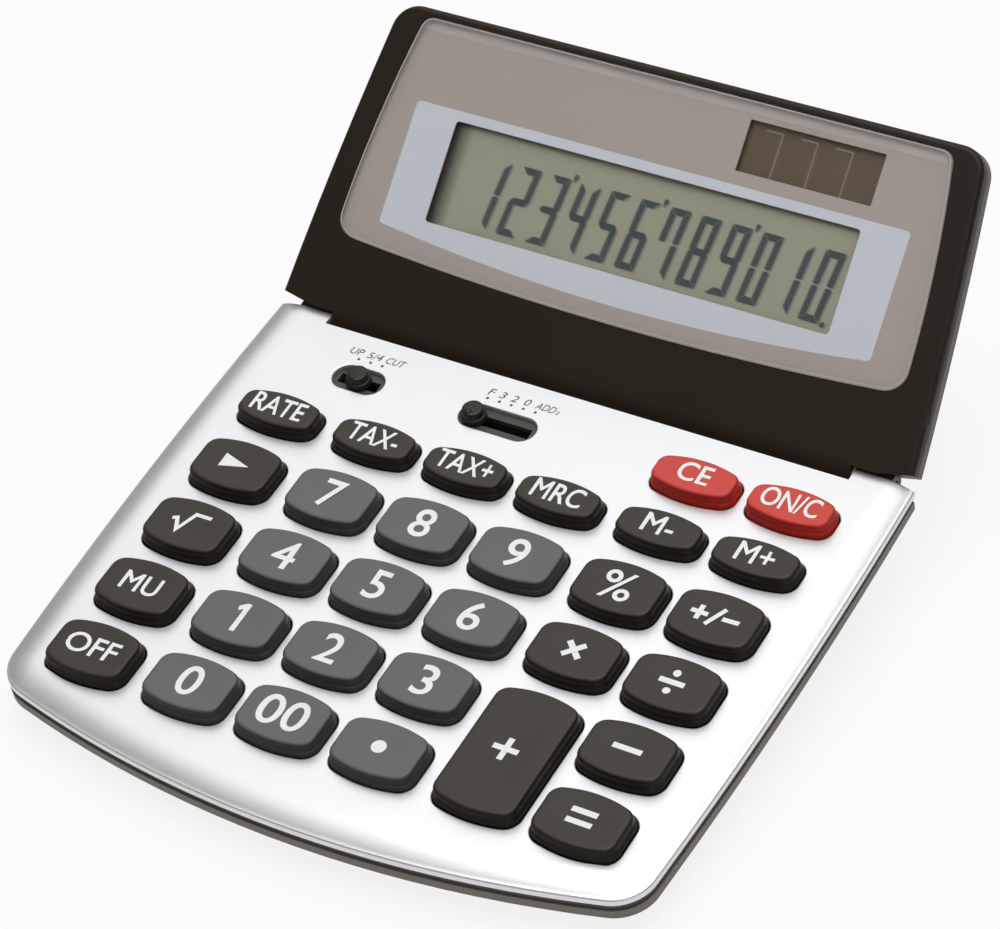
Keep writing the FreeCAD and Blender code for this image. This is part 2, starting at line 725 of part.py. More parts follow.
NUMBER_COLUMNS = [S.number_column + S.column_pitch * step for step in range(3)]
NUMBER_ROWS = [-(S.number_row + S.row_pitch * step) for step in range(4)]
MEMORY_ROW = -S.memory_row
CLEAR_ROW = -S.clear_row
TALL_ROW = (NUMBER_ROWS[2] + NUMBER_ROWS[3]) / 2


def key_table():
    """Every key's name, place on the panel and depth."""
    table = []
    digits = (("7", "8", "9"), ("4", "5", "6"), ("1", "2", "3"), ("0", "00", "point"))
    for row, names in zip(NUMBER_ROWS, digits):
        for column, name in zip(NUMBER_COLUMNS, names):
            table.append(("key_" + name, column, row, S.key_depth))
    for row, name in zip(NUMBER_ROWS, ("shift", "root", "markup", "off")):
        table.append(("key_" + name, S.left_column, row, S.key_depth))
    for row, name in zip(NUMBER_ROWS, ("percent", "multiply")):
        table.append(("key_" + name, S.operator_column, row, S.key_depth))
    table.append(("key_add", S.operator_column, TALL_ROW, S.tall_key_depth))
    for row, name in zip(NUMBER_ROWS, ("sign", "divide", "subtract", "equals")):
        table.append(("key_" + name, S.right_column, row, S.key_depth))
    small = ("rate", "tax_minus", "tax_plus", "memory_recall", "memory_minus", "memory_plus")
    columns = [S.left_column, *NUMBER_COLUMNS, S.operator_column, S.right_column]
    for column, name in zip(columns, small):
        table.append(("key_" + name, column, MEMORY_ROW, S.small_key_depth))
    for column, name in zip(columns[4:], ("clear_entry", "on_clear")):
        table.append(("key_" + name, column, CLEAR_ROW, S.small_key_depth))
    return table


KEYS = key_table()
SCREW_LEFT = (S.left_column + S.number_column) / 2
SCREW_RIGHT = (S.operator_column + S.right_column) / 2
SCREW_ROWS = (
    (SCREW_LEFT, NUMBER_COLUMNS[2] + S.screw_offset, TALL_ROW),
    (SCREW_LEFT, SCREW_RIGHT, (NUMBER_ROWS[0] + NUMBER_ROWS[1]) / 2),
    (S.screw_rear_left, S.screw_rear_right, -S.screw_rear_y),
)
SCREWS = [(x, row[2]) for row in SCREW_ROWS for x in row[:2]]
FRONT_SCREWS = SCREWS[:4]
HEAD_SCREWS = [
    (side * S.head_screw_x, y) for y in (S.head_screw_low, S.head_screw_high) for side in (-1, 1)
]
SWITCHES = (
    ("rounding", S.rounding_x, S.rounding_slot, S.rounding_step * 2, S.rounding_x),
    ("decimal", S.decimal_x, S.decimal_slot, S.decimal_step * 4, S.decimal_x - S.decimal_step * 2),
)


def cut_key_openings(body, height, depth):
    """Cuts the openings for the keys: one sketch for each, gathered for a single cut."""
    sketches = []
    for name, x, y, key_depth in KEYS:
        sketch = new_sketch(body, name, "XY_Plane", height)
        draw(sketch, [key_loop(x, y, key_depth, S.skirt_width + S.key_gap)])
        sketches.append((sketch, ("",)))
    gathered = body.newObject("PartDesign::SubShapeBinder", f"{body.Name}_openings")
    gathered.Support = sketches
    cut = body.newObject("PartDesign::Pocket", f"{body.Name}_openings_cut")
    cut.Profile = (gathered, [""])
    tie(cut, "Length", depth)


def slot_loop(middle, length, width):
    """A rectangle about a switch's middle."""
    return middle_loop(middle, -S.slot_row, length / 2, width / 2)


def cut_hinge_way(body, radius, half_length, name):
    """Cuts the round way for the hinge barrel."""
    sketch = new_sketch(body, name, "YZ_Plane")
    draw(sketch, circles=[(S.hinge_y, -S.hinge_drop, radius)])
    pocket(sketch, half_length * 2, both=True)


# Keyboard half

def make_faceplate():
    """Silver cover with a rolled edge, key openings, switch slots and the hinge notch.

    Its hollow runs out at the two tabs beside the notch, where the knuckles come in.
    """
    body = new_body("faceplate")
    blank = panel_loop(0.0, S.crown_width * 2)
    outline = new_sketch(body, "outline", "XY_Plane")
    draw(outline, [blank])
    pad(outline, S.lip_depth, back=True)
    round_corners(body, "corners", S.front_corner_radius, corners_of(blank, 0, 1))
    doc.recompute()
    base = body.Tip
    crown = body.newObject("PartDesign::Chamfer", "faceplate_crown")
    crown.Base = (base, flat_at(base.Shape, 0.0, lambda middle: middle.y < S.crown_width.value))
    crown.ChamferType = "Two distances"
    crown.FlipDirection = True
    tie(crown, "Size", S.crown_width)
    tie(crown, "Size2", S.crown_drop)
    rear = new_sketch(body, "rear", "XY_Plane")
    wide = S.rear_half_width * 2
    draw(rear, [
        Loop(-wide, -S.tab_setback)
        .line(-S.notch_half_width, -S.tab_setback)
        .line(-S.notch_half_width, -S.notch_depth)
        .line(S.notch_half_width, -S.notch_depth)
        .line(S.notch_half_width, -S.tab_setback)
        .line(wide, -S.tab_setback)
        .line(wide, S.crown_width * 3)
        .line(-wide, S.crown_width * 3)
        .close()
    ])
    pocket(rear, S.lip_depth)
    hollow = new_sketch(body, "hollow", "XY_Plane", COVER_EDGE)
    wall = -S.notch_depth - S.cover_wall
    whole = panel_loop(S.cover_wall, S.tab_setback)
    back = whole.corners[2][0]
    draw(hollow, [
        Loop(*whole.corners[0])
        .arc(*whole.corners[1], whole.runs[0])
        .arc(back, S.tab_setback, whole.runs[1])
        .line(S.notch_half_width, S.tab_setback)
        .line(S.notch_half_width, wall)
        .line(-S.notch_half_width, wall)
        .line(-S.notch_half_width, S.tab_setback)
        .line(-back, S.tab_setback)
        .close(whole.runs[1])
    ])
    pocket(hollow, S.lip_depth - S.sheet_thickness, up=True)
    slots = new_sketch(body, "slots", "XY_Plane")
    draw(slots, [
        rounded_box_loop(
            middle - length / 2,
            -S.slot_row - S.slot_width / 2,
            middle + length / 2,
            -S.slot_row + S.slot_width / 2,
            S.slot_corner_radius,
        )
        for _, middle, length, _, _ in SWITCHES
    ])
    pocket(slots, S.lip_depth)
    cut_key_openings(body, 0.0, S.lip_depth)
    on_panel(body)
    return body


def make_upper_case():
    """Dark deck under the cover, with the visible band, screw bosses and hinge knuckles."""
    body = new_body("upper_case")
    band = new_sketch(body, "band", "XY_Plane", CASE_EDGE)
    band_loop = panel_loop(S.band_inset, -S.tab_setback)
    draw(band, [band_loop])
    pad(band, S.case_band)
    round_corners(body, "corners", S.front_corner_radius - S.band_inset, corners_of(band_loop, 0, 1))
    deck = new_sketch(body, "deck", "XY_Plane", COVER_EDGE)
    draw(deck, [panel_loop(S.cover_wall + S.band_inset, -S.notch_depth - S.cover_wall - S.band_inset)])
    pad(deck, DECK_TOP - COVER_EDGE)
    hollow = new_sketch(body, "hollow", "XY_Plane", CASE_EDGE)
    draw(hollow, [panel_loop(S.deck_wall, -S.rear_wall_y - S.deck_wall / 2)])
    pocket(hollow, DECK_BOTTOM - CASE_EDGE, up=True)
    bosses = new_sketch(body, "bosses", "XY_Plane", BOARD_BOTTOM)
    draw(bosses, circles=[(x, y, S.boss_radius) for x, y in SCREWS])
    pad(bosses, DECK_BOTTOM - BOARD_BOTTOM)
    pilots = new_sketch(body, "pilots", "XY_Plane", BOARD_BOTTOM)
    draw(pilots, circles=[(x, y, S.pilot_radius) for x, y in SCREWS])
    pocket(pilots, S.pilot_depth, up=True)
    slits = new_sketch(body, "slits", "XY_Plane", DECK_TOP)
    draw(slits, [
        slot_loop(middle, travel + S.stem_length + S.stem_gap * 2, S.stem_width + S.stem_gap * 2)
        for _, middle, _, travel, _ in SWITCHES
    ])
    pocket(slits, S.deck_thickness * 2)
    cut_hinge_way(body, S.barrel_radius + S.barrel_gap, S.notch_half_width, "way")
    for side, name in ((-1, "left"), (1, "right")):
        length = S.knuckle_end - S.notch_half_width
        start = S.notch_half_width if side == 1 else -S.knuckle_end
        knuckle = new_sketch(body, f"{name}_knuckle", "YZ_Plane", start)
        draw(knuckle, circles=[(S.hinge_y, -S.hinge_drop, S.knuckle_radius)])
        pad(knuckle, length)
    trim = new_sketch(body, "trim", "YZ_Plane")
    tab_end = S.seam - S.tab_setback
    draw(trim, [box_loop(tab_end - S.knuckle_radius * 2, DECK_TOP, tab_end, S.knuckle_radius)])
    pocket(trim, S.knuckle_end * 2, both=True)
    for side, name in ((-1, "left"), (1, "right")):
        length = S.knuckle_end - S.notch_half_width
        start = S.notch_half_width if side == 1 else -S.knuckle_end
        bore = new_sketch(body, f"{name}_bore", "YZ_Plane", start)
        draw(bore, circles=[(S.hinge_y, -S.hinge_drop, S.pin_radius)])
        pocket(bore, length, up=True)
    cut_key_openings(body, DECK_TOP, S.deck_thickness * 2)
    on_panel(body)
    return body


def tub_bottom(y):
    """Level of the tub's bottom at a place of the panel frame."""
    return -S.front_depth - (y + S.tub_front) * sine(S.tilt) / cosine(S.tilt)


def make_lower_case():
    """Grey rim band with the wedge-shaped tub, screw posts, battery bay and foot seats."""
    body = new_body("lower_case")
    band = new_sketch(body, "band", "XY_Plane", BASE_EDGE)
    band_loop = panel_loop(0.0, -S.tab_setback)
    draw(band, [band_loop])
    pad(band, S.base_band)
    round_corners(body, "corners", S.front_corner_radius, corners_of(band_loop, 0, 1))
    tub = new_sketch(body, "tub", "YZ_Plane")
    draw(tub, [
        Loop(-S.tub_front, tub_bottom(-S.tub_front))
        .line(S.tub_rear, tub_bottom(S.tub_rear))
        .line(S.tub_rear, BASE_EDGE)
        .line(-S.tub_front, BASE_EDGE)
        .close()
    ])
    pad(tub, S.tub_half_width * 2, both=True)
    tub_loop = box_loop(-S.tub_half_width, -S.tub_front, S.tub_half_width, S.tub_rear)
    round_corners(body, "tub_corners", S.tub_corner_radius, corners_of(tub_loop, 0, 1))
    round_corners(body, "tub_rear_corners", S.tub_rear_radius, corners_of(tub_loop, 2, 3))
    round_tub_edge(body)
    shelf = new_sketch(body, "shelf", "XY_Plane", BASE_TOP)
    draw(shelf, [panel_loop(S.base_wall, -S.rear_wall_y)])
    pocket(shelf, S.base_band - S.shelf_thickness)
    room = new_sketch(body, "room", "YZ_Plane")
    floor = S.tub_wall / cosine(S.tilt)
    front = S.tub_wall - S.tub_front
    rear = S.tub_rear - S.tub_wall
    under_way = -S.hinge_drop - S.barrel_radius - S.barrel_gap - S.tub_wall
    draw(room, [
        Loop(front, tub_bottom(front) + floor)
        .line(rear, tub_bottom(rear) + floor)
        .line(rear, under_way)
        .line(-S.rear_wall_y, under_way)
        .line(-S.rear_wall_y, BASE_TOP)
        .line(front, BASE_TOP)
        .close()
    ])
    pocket(room, (S.tub_half_width - S.tub_wall) * 2, both=True)
    cut_hinge_way(body, S.barrel_radius + S.barrel_gap, S.notch_half_width, "way")
    cut_hinge_way(body, S.knuckle_radius + S.knuckle_gap / 2, S.knuckle_end + S.knuckle_gap, "knuckle_way")
    for index, (left, right, y) in enumerate(SCREW_ROWS):
        posts = new_sketch(body, f"posts_{index}", "XY_Plane", BOARD_BOTTOM)
        draw(posts, circles=[(x, y, S.post_radius) for x in (left, right)])
        pad(posts, BOARD_BOTTOM - tub_bottom(y) - S.tub_wall / 2, back=True)
    wells = new_sketch(body, "wells", "XY_Plane", SCREW_SEAT)
    draw(wells, circles=[(x, y, S.screw_head_radius + S.boss_gap) for x, y in SCREWS])
    pocket(wells, S.tub_front)
    holes = new_sketch(body, "holes", "XY_Plane", BOARD_BOTTOM)
    draw(holes, circles=[(x, y, S.screw_radius + S.boss_gap) for x, y in SCREWS])
    pocket(holes, S.screw_seat)
    cut_battery_bay(body)
    seats = desk_sketch(body, "seats", 0.0)
    draw(seats, circles=foot_circles(S.door_gap))
    pocket(seats, S.foot_recess, up=True)
    cable = new_sketch(body, "cable_way", "YZ_Plane")
    under = BOARD_TOP - S.cable_way / 2
    over = under + S.cable_thickness + S.cable_way
    draw(cable, [box_loop(-S.board_rear, under, S.hinge_y - S.barrel_radius / 2, over)])
    pocket(cable, (S.cable_half_width + S.cable_way) * 2, both=True)
    on_panel(body)
    return body


def round_tub_edge(body):
    """Rounds the tub's sloping bottom edge."""
    doc.recompute()
    base = body.Tip
    names = []
    for index, edge in enumerate(base.Shape.Edges, start=1):
        middle = edge.valueAt((edge.FirstParameter + edge.LastParameter) / 2)
        points = [middle, *(vertex.Point for vertex in edge.Vertexes)]
        if all(abs(point.z - tub_bottom(as_size(point.y)).value) < 1e-3 for point in points):
            names.append(f"Edge{index}")
    feature = body.newObject("PartDesign::Fillet", "lower_case_edge")
    feature.Base = (base, names)
    tie(feature, "Radius", S.tub_edge_radius)


def cut_battery_bay(body):
    """Adds the bay's block, and cuts the seat of the door and the room for the cell."""
    def bay(name, height, half_x, half_y):
        sketch = desk_sketch(body, name, height)
        front, back = S.battery_back - half_y, S.battery_back + half_y
        draw(sketch, [box_loop(S.battery_x - half_x, front, S.battery_x + half_x, back)])
        return sketch

    block = bay("bay_block", S.tub_wall / 2, S.bay_block_x, S.bay_block_y)
    pad(block, BAY_TOP + S.bay_roof - S.tub_wall / 2)
    seat = bay("bay_seat", 0.0, S.door_half_x + S.door_gap, S.door_half_y + S.door_gap)
    pocket(seat, CELL_FOOT, up=True)
    room = bay("bay_room", CELL_FOOT, S.cell_radius + S.bay_side, S.cell_radius + S.bay_gap)
    pocket(room, BAY_TOP - CELL_FOOT, up=True)


def foot_circles(grow):
    """The four feet, as circles in a level sketch."""
    return [
        (side * S.foot_x, back, S.foot_radius + grow)
        for back in (S.foot_front, S.foot_rear)
        for side in (-1, 1)
    ]


def make_key(name, x, y, depth):
    """One key: cap on a wider step, flange under the deck, hollow inside with a plunger."""
    body = new_body(name)
    flange = new_sketch(body, "flange", "XY_Plane", FLANGE_BOTTOM)
    middle = as_size(0.0)
    draw(flange, [key_loop(middle, middle, depth, S.skirt_width + S.flange_width)])
    pad(flange, S.flange_thickness)
    skirt = new_sketch(body, "skirt", "XY_Plane", FLANGE_TOP)
    draw(skirt, [key_loop(middle, middle, depth, S.skirt_width)])
    pad(skirt, S.skirt_height - FLANGE_TOP)
    cap = new_sketch(body, "cap", "XY_Plane", S.skirt_height)
    draw(cap, [key_loop(middle, middle, depth, 0.0)])
    pad(cap, S.key_height - S.skirt_height)
    round_level(body, "top_edge", S.key_edge_radius, S.key_height)
    hollow = new_sketch(body, "hollow", "XY_Plane", FLANGE_BOTTOM)
    draw(hollow, [key_loop(middle, middle, depth, -S.key_wall)])
    pocket(hollow, S.key_height - S.key_wall - FLANGE_BOTTOM, up=True)
    plunger = new_sketch(body, "plunger", "XY_Plane", DOME_TOP)
    draw(plunger, circles=[(0.0, 0.0, S.plunger_radius)])
    pad(plunger, S.key_height - S.key_wall / 2 - DOME_TOP)
    on_panel(body, x, y)
    return body


def make_key_membrane():
    """Rubber sheet with a hollow dome under each key."""
    body = new_body("key_membrane")
    sheet = new_sketch(body, "sheet", "XY_Plane", BOARD_TOP)
    wide = S.board_half_width
    draw(sheet, [
        Loop(-wide, -S.sheet_front)
        .line(wide, -S.sheet_front)
        .line(wide, -S.sheet_rear_right)
        .line(S.sheet_step_x, -S.sheet_rear_right)
        .line(S.sheet_step_x, -S.sheet_rear)
        .line(-wide, -S.sheet_rear)
        .close()
    ], [(x, y, S.boss_radius + S.boss_gap) for x, y in FRONT_SCREWS])
    pad(sheet, S.membrane_thickness)
    lean = arc_tangent((S.dome_radius - S.dome_top_radius) / S.dome_height)
    domes = new_sketch(body, "domes", "XY_Plane", SHEET_TOP)
    draw(domes, circles=[(x, y, S.dome_radius) for _, x, y, _ in KEYS])
    pad(domes, S.dome_height, taper=-lean)
    rooms = new_sketch(body, "rooms", "XY_Plane", BOARD_TOP)
    draw(rooms, circles=[(x, y, S.dome_radius - S.dome_wall) for _, x, y, _ in KEYS])
    pocket(rooms, S.dome_height, up=True, taper=-lean)
    on_panel(body)
    return body


def make_main_board():
    """Main circuit board on the screw posts, and the sealed controller under it."""
    body = new_body("main_pcb")
    board = new_sketch(body, "board", "XY_Plane", BOARD_BOTTOM)
    draw(
        board,
        [box_loop(-S.board_half_width, -S.board_front, S.board_half_width, -S.board_rear)],
        [(x, y, S.boss_radius + S.boss_gap) for x, y in SCREWS],
    )
    pad(board, S.board_thickness)
    on_panel(body)
    chip = new_body("controller_chip")
    half = S.chip_size / 2
    outline = new_sketch(chip, "outline", "XY_Plane", BOARD_BOTTOM)
    draw(outline, [box_loop(-half, -S.chip_y - half, half, -S.chip_y + half)])
    pad(outline, S.chip_thickness, back=True)
    on_panel(chip)


def make_switch(name, middle, travel, rest):
    """A slide switch on the board, and its knob at the rest position."""
    body = new_body(name + "_switch")
    half = (travel + S.stem_length) / 2 + S.stem_gap
    case = new_sketch(body, "case", "XY_Plane", BOARD_TOP)
    draw(case, [slot_loop(middle, half * 2 + S.switch_wall * 2, S.switch_width)])
    pad(case, S.switch_height)
    way = new_sketch(body, "way", "XY_Plane", BOARD_TOP + S.switch_height)
    draw(way, [slot_loop(middle, half * 2, S.stem_width + S.stem_gap * 2)])
    pocket(way, S.switch_height - S.switch_floor)
    on_panel(body)
    knob = new_body(name + "_knob")
    foot = new_sketch(knob, "foot", "XY_Plane", DECK_TOP + S.knob_clearance)
    draw(foot, circles=[(0.0, 0.0, S.knob_foot_radius)])
    pad(foot, S.knob_foot_height)
    head = new_sketch(knob, "head", "XY_Plane", DECK_TOP + S.knob_clearance + S.knob_foot_height)
    draw(head, circles=[(0.0, 0.0, S.knob_radius)])
    pad(head, S.knob_height - DECK_TOP - S.knob_clearance - S.knob_foot_height)
    round_level(knob, "top_edge", S.knob_edge_radius, S.knob_height)
    stem = new_sketch(knob, "stem", "XY_Plane", DECK_TOP + S.knob_clearance)
    draw(stem, [middle_loop(as_size(0.0), as_size(0.0), S.stem_length / 2, S.stem_width / 2)])
    pad(stem, S.stem_depth, back=True)
    on_panel(knob, rest, -S.slot_row)


def make_battery():
    """Button cell, its two contacts and the door of the bay."""
    cell = new_body("battery_cell")
    drum = new_sketch(cell, "drum", "XY_Plane")
    draw(drum, circles=[(0.0, 0.0, S.cell_radius)])
    pad(drum, S.cell_height)
    on_desk(cell, S.battery_x, S.battery_back, CELL_FOOT)
    contacts = new_body("battery_contacts", several=True)
    top = new_sketch(contacts, "top", "XY_Plane", S.cell_height)
    draw(top, circles=[(0.0, 0.0, S.contact_radius)])
    pad(top, S.contact_thickness)
    side = new_sketch(contacts, "side", "XY_Plane")
    bay_wall = S.cell_radius + S.bay_side
    draw(side, [box_loop(S.cell_radius, -S.contact_half_width, bay_wall, S.contact_half_width)])
    pad(side, S.cell_height)
    on_desk(contacts, S.battery_x, S.battery_back, CELL_FOOT)
    door = new_body("battery_door")
    plate = new_sketch(door, "plate", "XY_Plane", S.door_inset)
    draw(plate, [box_loop(-S.door_half_x, -S.door_half_y, S.door_half_x, S.door_half_y)])
    pad(plate, S.door_thickness)
    on_desk(door, S.battery_x, S.battery_back, 0.0)


def make_feet_and_screws():
    """Four rubber feet in their seats, and the screws that hold the two cases together."""
    feet = new_body("rubber_feet", several=True)
    pads = new_sketch(feet, "pads", "XY_Plane")
    draw(pads, circles=foot_circles(0.0))
    pad(pads, S.foot_stand + S.foot_recess)
    on_desk(feet, 0.0, 0.0, -S.foot_stand)
    screws = new_body("case_screws", several=True)
    heads = new_sketch(screws, "heads", "XY_Plane", SCREW_SEAT)
    draw(heads, circles=[(x, y, S.screw_head_radius) for x, y in SCREWS])
    pad(heads, S.screw_head_height, back=True)
    shanks = new_sketch(screws, "shanks", "XY_Plane", SCREW_SEAT)
    draw(shanks, circles=[(x, y, S.screw_radius) for x, y in SCREWS])
    pad(shanks, S.screw_length)
    on_panel(screws)


def make_hinge():
    """Steel pins in the knuckles, and the friction washers at the ends of the barrel."""
    pins = new_body("hinge_pins", several=True)
    washers = new_body("hinge_washers", several=True)
    washer_start = S.barrel_half_length + S.seam
    for body, name, start, end, circles in (
        (pins, "pin", S.pin_start, S.pin_end, (S.pin_radius,)),
        (washers, "washer", washer_start, S.notch_half_width, (S.washer_radius, S.pin_radius + S.pin_play)),
    ):
        for side, hand in ((-1, "left"), (1, "right")):
            sketch = new_sketch(body, f"{hand}_{name}", "YZ_Plane", start if side == 1 else -end)
            draw(sketch, circles=[(0.0, 0.0, radius) for radius in circles])
            pad(sketch, end - start)
        on_panel(body, 0.0, S.hinge_y, -S.hinge_drop)


def make_ribbon_base():
    """Flat cable from the main board into the barrel."""
    body = new_body("ribbon_base")
    sketch = new_sketch(body, "run", "YZ_Plane")
    low = BOARD_TOP
    high = BOARD_TOP + S.cable_thickness
    start = -S.board_rear - S.cable_board_length
    bend = S.hinge_y - S.barrel_radius + S.cable_thickness
    inner_y = S.hinge_y - S.bore_radius / 2
    inner_z = -S.hinge_drop - S.bore_radius / 4
    draw(sketch, [
        Loop(start, low)
        .line(bend, low)
        .line(inner_y + S.cable_thickness, inner_z)
        .line(inner_y, inner_z + S.cable_thickness / 2)
        .line(bend - S.cable_thickness / 2, high)
        .line(start, high)
        .close()
    ])
    pad(sketch, S.cable_half_width * 2, both=True)
    on_panel(body)


# Display head

def make_head_bezel():
    """Black front shell with the hinge barrel, the window's seat and four screw bosses."""
    body = new_body("head_bezel")
    outline = new_sketch(body, "outline", "XY_Plane", BEZEL_BACK)
    loop = head_loop(as_size(0.0), S.head_crease)
    draw(outline, [loop])
    pad(outline, S.bezel_depth)
    round_corners(body, "corners", S.head_corner_radius, corners_of(loop, 7, 8))
    low = S.head_start + S.head_rise
    round_level(body, "front_edge", S.bezel_edge_radius, S.face_height, lambda middle: middle.y > low.value)
    barrel = new_sketch(body, "barrel", "YZ_Plane")
    draw(barrel, circles=[(0.0, 0.0, S.barrel_radius)])
    pad(barrel, S.barrel_half_length * 2, both=True)
    add_shoulder(body)
    hollow = new_sketch(body, "hollow", "XY_Plane", BEZEL_BACK)
    inner = S.head_half_width - S.head_corner_radius
    draw(hollow, [box_loop(-inner, S.hump_start - S.bezel_wall * 2, inner, S.head_height - S.bezel_wall * 2)])
    pocket(hollow, FACE_BACK - BEZEL_BACK, up=True)
    seat = new_sketch(body, "window_seat", "XY_Plane", S.face_height)
    seat_loop = lens_loop(as_size(0.0))
    draw(seat, [seat_loop])
    pocket(seat, S.face_height - MASK_BOTTOM)
    round_lens(body, seat_loop, as_size(0.0))
    windows = new_sketch(body, "windows", "XY_Plane", MASK_BOTTOM)
    draw(windows, window_loops(S.lens_gap * 2))
    pocket(windows, S.bezel_face * 2)
    bosses = new_sketch(body, "bosses", "XY_Plane", -S.head_boss_end)
    draw(bosses, circles=[(x, y, S.head_boss_radius) for x, y in HEAD_SCREWS])
    pad(bosses, FACE_BACK + S.head_boss_end)
    pilots = new_sketch(body, "pilots", "XY_Plane", -S.head_boss_end)
    draw(pilots, circles=[(x, y, S.head_screw_radius + S.pin_play) for x, y in HEAD_SCREWS])
    pocket(pilots, S.head_screw_length, up=True)
    way = new_sketch(body, "cable_bore", "YZ_Plane")
    draw(way, circles=[(0.0, 0.0, S.bore_radius)])
    pocket(way, S.bore_half_length * 2, both=True)
    bore = new_sketch(body, "pin_bore", "YZ_Plane")
    draw(bore, circles=[(0.0, 0.0, S.pin_radius + S.pin_play)])
    pocket(bore, S.barrel_half_length * 2, both=True)
    relief_cuts(body, "relief")
    cut_cable_slots(body)
    in_head(body)
    return body


def add_shoulder(body):
    """Rounds the display face over into the barrel, with an arc that leaves the face without a kink."""
    bend = bow_radius(S.shoulder_reach + S.head_crease, S.face_height - S.shoulder_level)
    shoulder = new_sketch(body, "shoulder", "YZ_Plane")
    draw(shoulder, [
        Loop(0.0, 0.0)
        .line(S.head_crease, BEZEL_BACK)
        .line(S.head_crease, S.face_height)
        .arc(-S.shoulder_reach, S.shoulder_level, bend)
        .close()
    ])
    pad(shoulder, S.barrel_half_length * 2, both=True)


def relief_cuts(body, name):
    """Clears the knuckles beside the barrel, on both hands."""
    start = S.barrel_half_length + S.seam
    length = S.knuckle_end + S.knuckle_gap - start
    for side, hand in ((-1, "left"), (1, "right")):
        sketch = new_sketch(body, f"{hand}_{name}", "YZ_Plane", start if side == 1 else -(start + length))
        draw(sketch, circles=[(0.0, 0.0, S.knuckle_radius + S.knuckle_gap)])
        pocket(sketch, length, up=True)


def cut_cable_slots(body):
    """Cuts the slot that the flat cable leaves through, and the wide one that it turns in."""
    reach = S.barrel_radius * 2
    way = new_sketch(body, "turning_slot", "YZ_Plane")
    draw(way, [
        Loop(0.0, 0.0)
        .line(-reach, reach * sine(S.slot_rise) / cosine(S.slot_rise))
        .line(-reach, -reach)
        .line(-reach * sine(S.slot_fall) / cosine(S.slot_fall), -reach)
        .close()
    ])
    pocket(way, (S.cable_half_width + S.cable_way) * 2, both=True)
    out = new_sketch(body, "outer_slot", "YZ_Plane")
    half = (S.cable_thickness + S.cable_way) / 2
    draw(out, [box_loop(0.0, -half, S.back_start + S.back_wall * 2, half)])
    pocket(out, (S.cable_half_width + S.cable_way) * 2, both=True)


def round_lens(body, loop, inset):
    """Rounds the window's upper and lower corners."""
    round_corners(body, "lower_lens_corners", S.lens_corner_radius - inset, corners_of(loop, 0, 1))
    round_corners(body, "upper_lens_corners", S.lens_top_corner_radius - inset, corners_of(loop, 2, 3))


def window_loops(grow):
    """The display opening and the solar opening."""
    wide = S.lcd_window_width / 2 + grow
    high = S.lcd_window_height / 2 + grow
    solar_wide = S.solar_window_width / 2 + grow
    solar_high = S.solar_window_height / 2 + grow
    return [
        middle_loop(as_size(0.0), S.lcd_y, wide, high),
        middle_loop(S.solar_x, S.solar_y, solar_wide, solar_high),
    ]


def make_head_back():
    """Rear cover of the head: a rim, a raised middle, and posts for the screws."""
    body = new_body("head_back")
    rim = new_sketch(body, "rim", "XY_Plane", BACK_EDGE)
    loop = head_loop(as_size(0.0), S.back_start)
    draw(rim, [loop])
    pad(rim, S.back_depth)
    round_corners(body, "corners", S.head_corner_radius, corners_of(loop, 7, 8))
    hump = new_sketch(body, "hump", "XY_Plane", BACK_EDGE)
    hump_loop = box_loop(-S.hump_half_width, S.hump_start, S.hump_half_width, S.hump_end)
    draw(hump, [hump_loop])
    pad(hump, S.hump_depth, back=True)
    round_corners(body, "hump_corners", S.hump_corner_radius, hump_loop.corners)
    round_level(body, "hump_edge", S.hump_edge_radius, HUMP_BACK)
    hollow = new_sketch(body, "hollow", "XY_Plane", BACK_FRONT)
    inner = S.head_half_width - S.head_corner_radius
    draw(hollow, [box_loop(-inner, S.hump_start - S.back_wall, inner, S.head_height - S.back_wall * 2)])
    pocket(hollow, BACK_FRONT - BACK_FLOOR)
    room = new_sketch(body, "room", "XY_Plane", BACK_FLOOR)
    draw(room, [
        rounded_box_loop(
            S.back_wall - S.hump_half_width,
            S.hump_start + S.back_wall,
            S.hump_half_width - S.back_wall,
            S.hump_end - S.back_wall,
            S.hump_corner_radius - S.back_wall,
        )
    ])
    pocket(room, BACK_FLOOR - HUMP_FLOOR)
    posts = new_sketch(body, "posts", "XY_Plane", HUMP_FLOOR)
    draw(posts, circles=[(x, y, S.head_post_radius) for x, y in HEAD_SCREWS])
    pad(posts, -S.head_boss_end - HUMP_FLOOR)
    wells = new_sketch(body, "wells", "XY_Plane", HUMP_BACK)
    draw(wells, circles=[(x, y, S.head_screw_head_radius + S.lens_gap) for x, y in HEAD_SCREWS])
    pocket(wells, S.head_screw_recess, up=True)
    holes = new_sketch(body, "holes", "XY_Plane", HUMP_BACK)
    draw(holes, circles=[(x, y, S.head_screw_radius + S.lens_gap) for x, y in HEAD_SCREWS])
    pocket(holes, S.hump_depth, up=True)
    relief_cuts(body, "relief")
    slot = new_sketch(body, "cable_slot", "YZ_Plane")
    half = (S.cable_thickness + S.cable_way) / 2
    draw(slot, [box_loop(0.0, -half, S.hump_start + S.back_wall, half)])
    pocket(slot, (S.cable_half_width + S.cable_way) * 2, both=True)
    in_head(body)
    return body


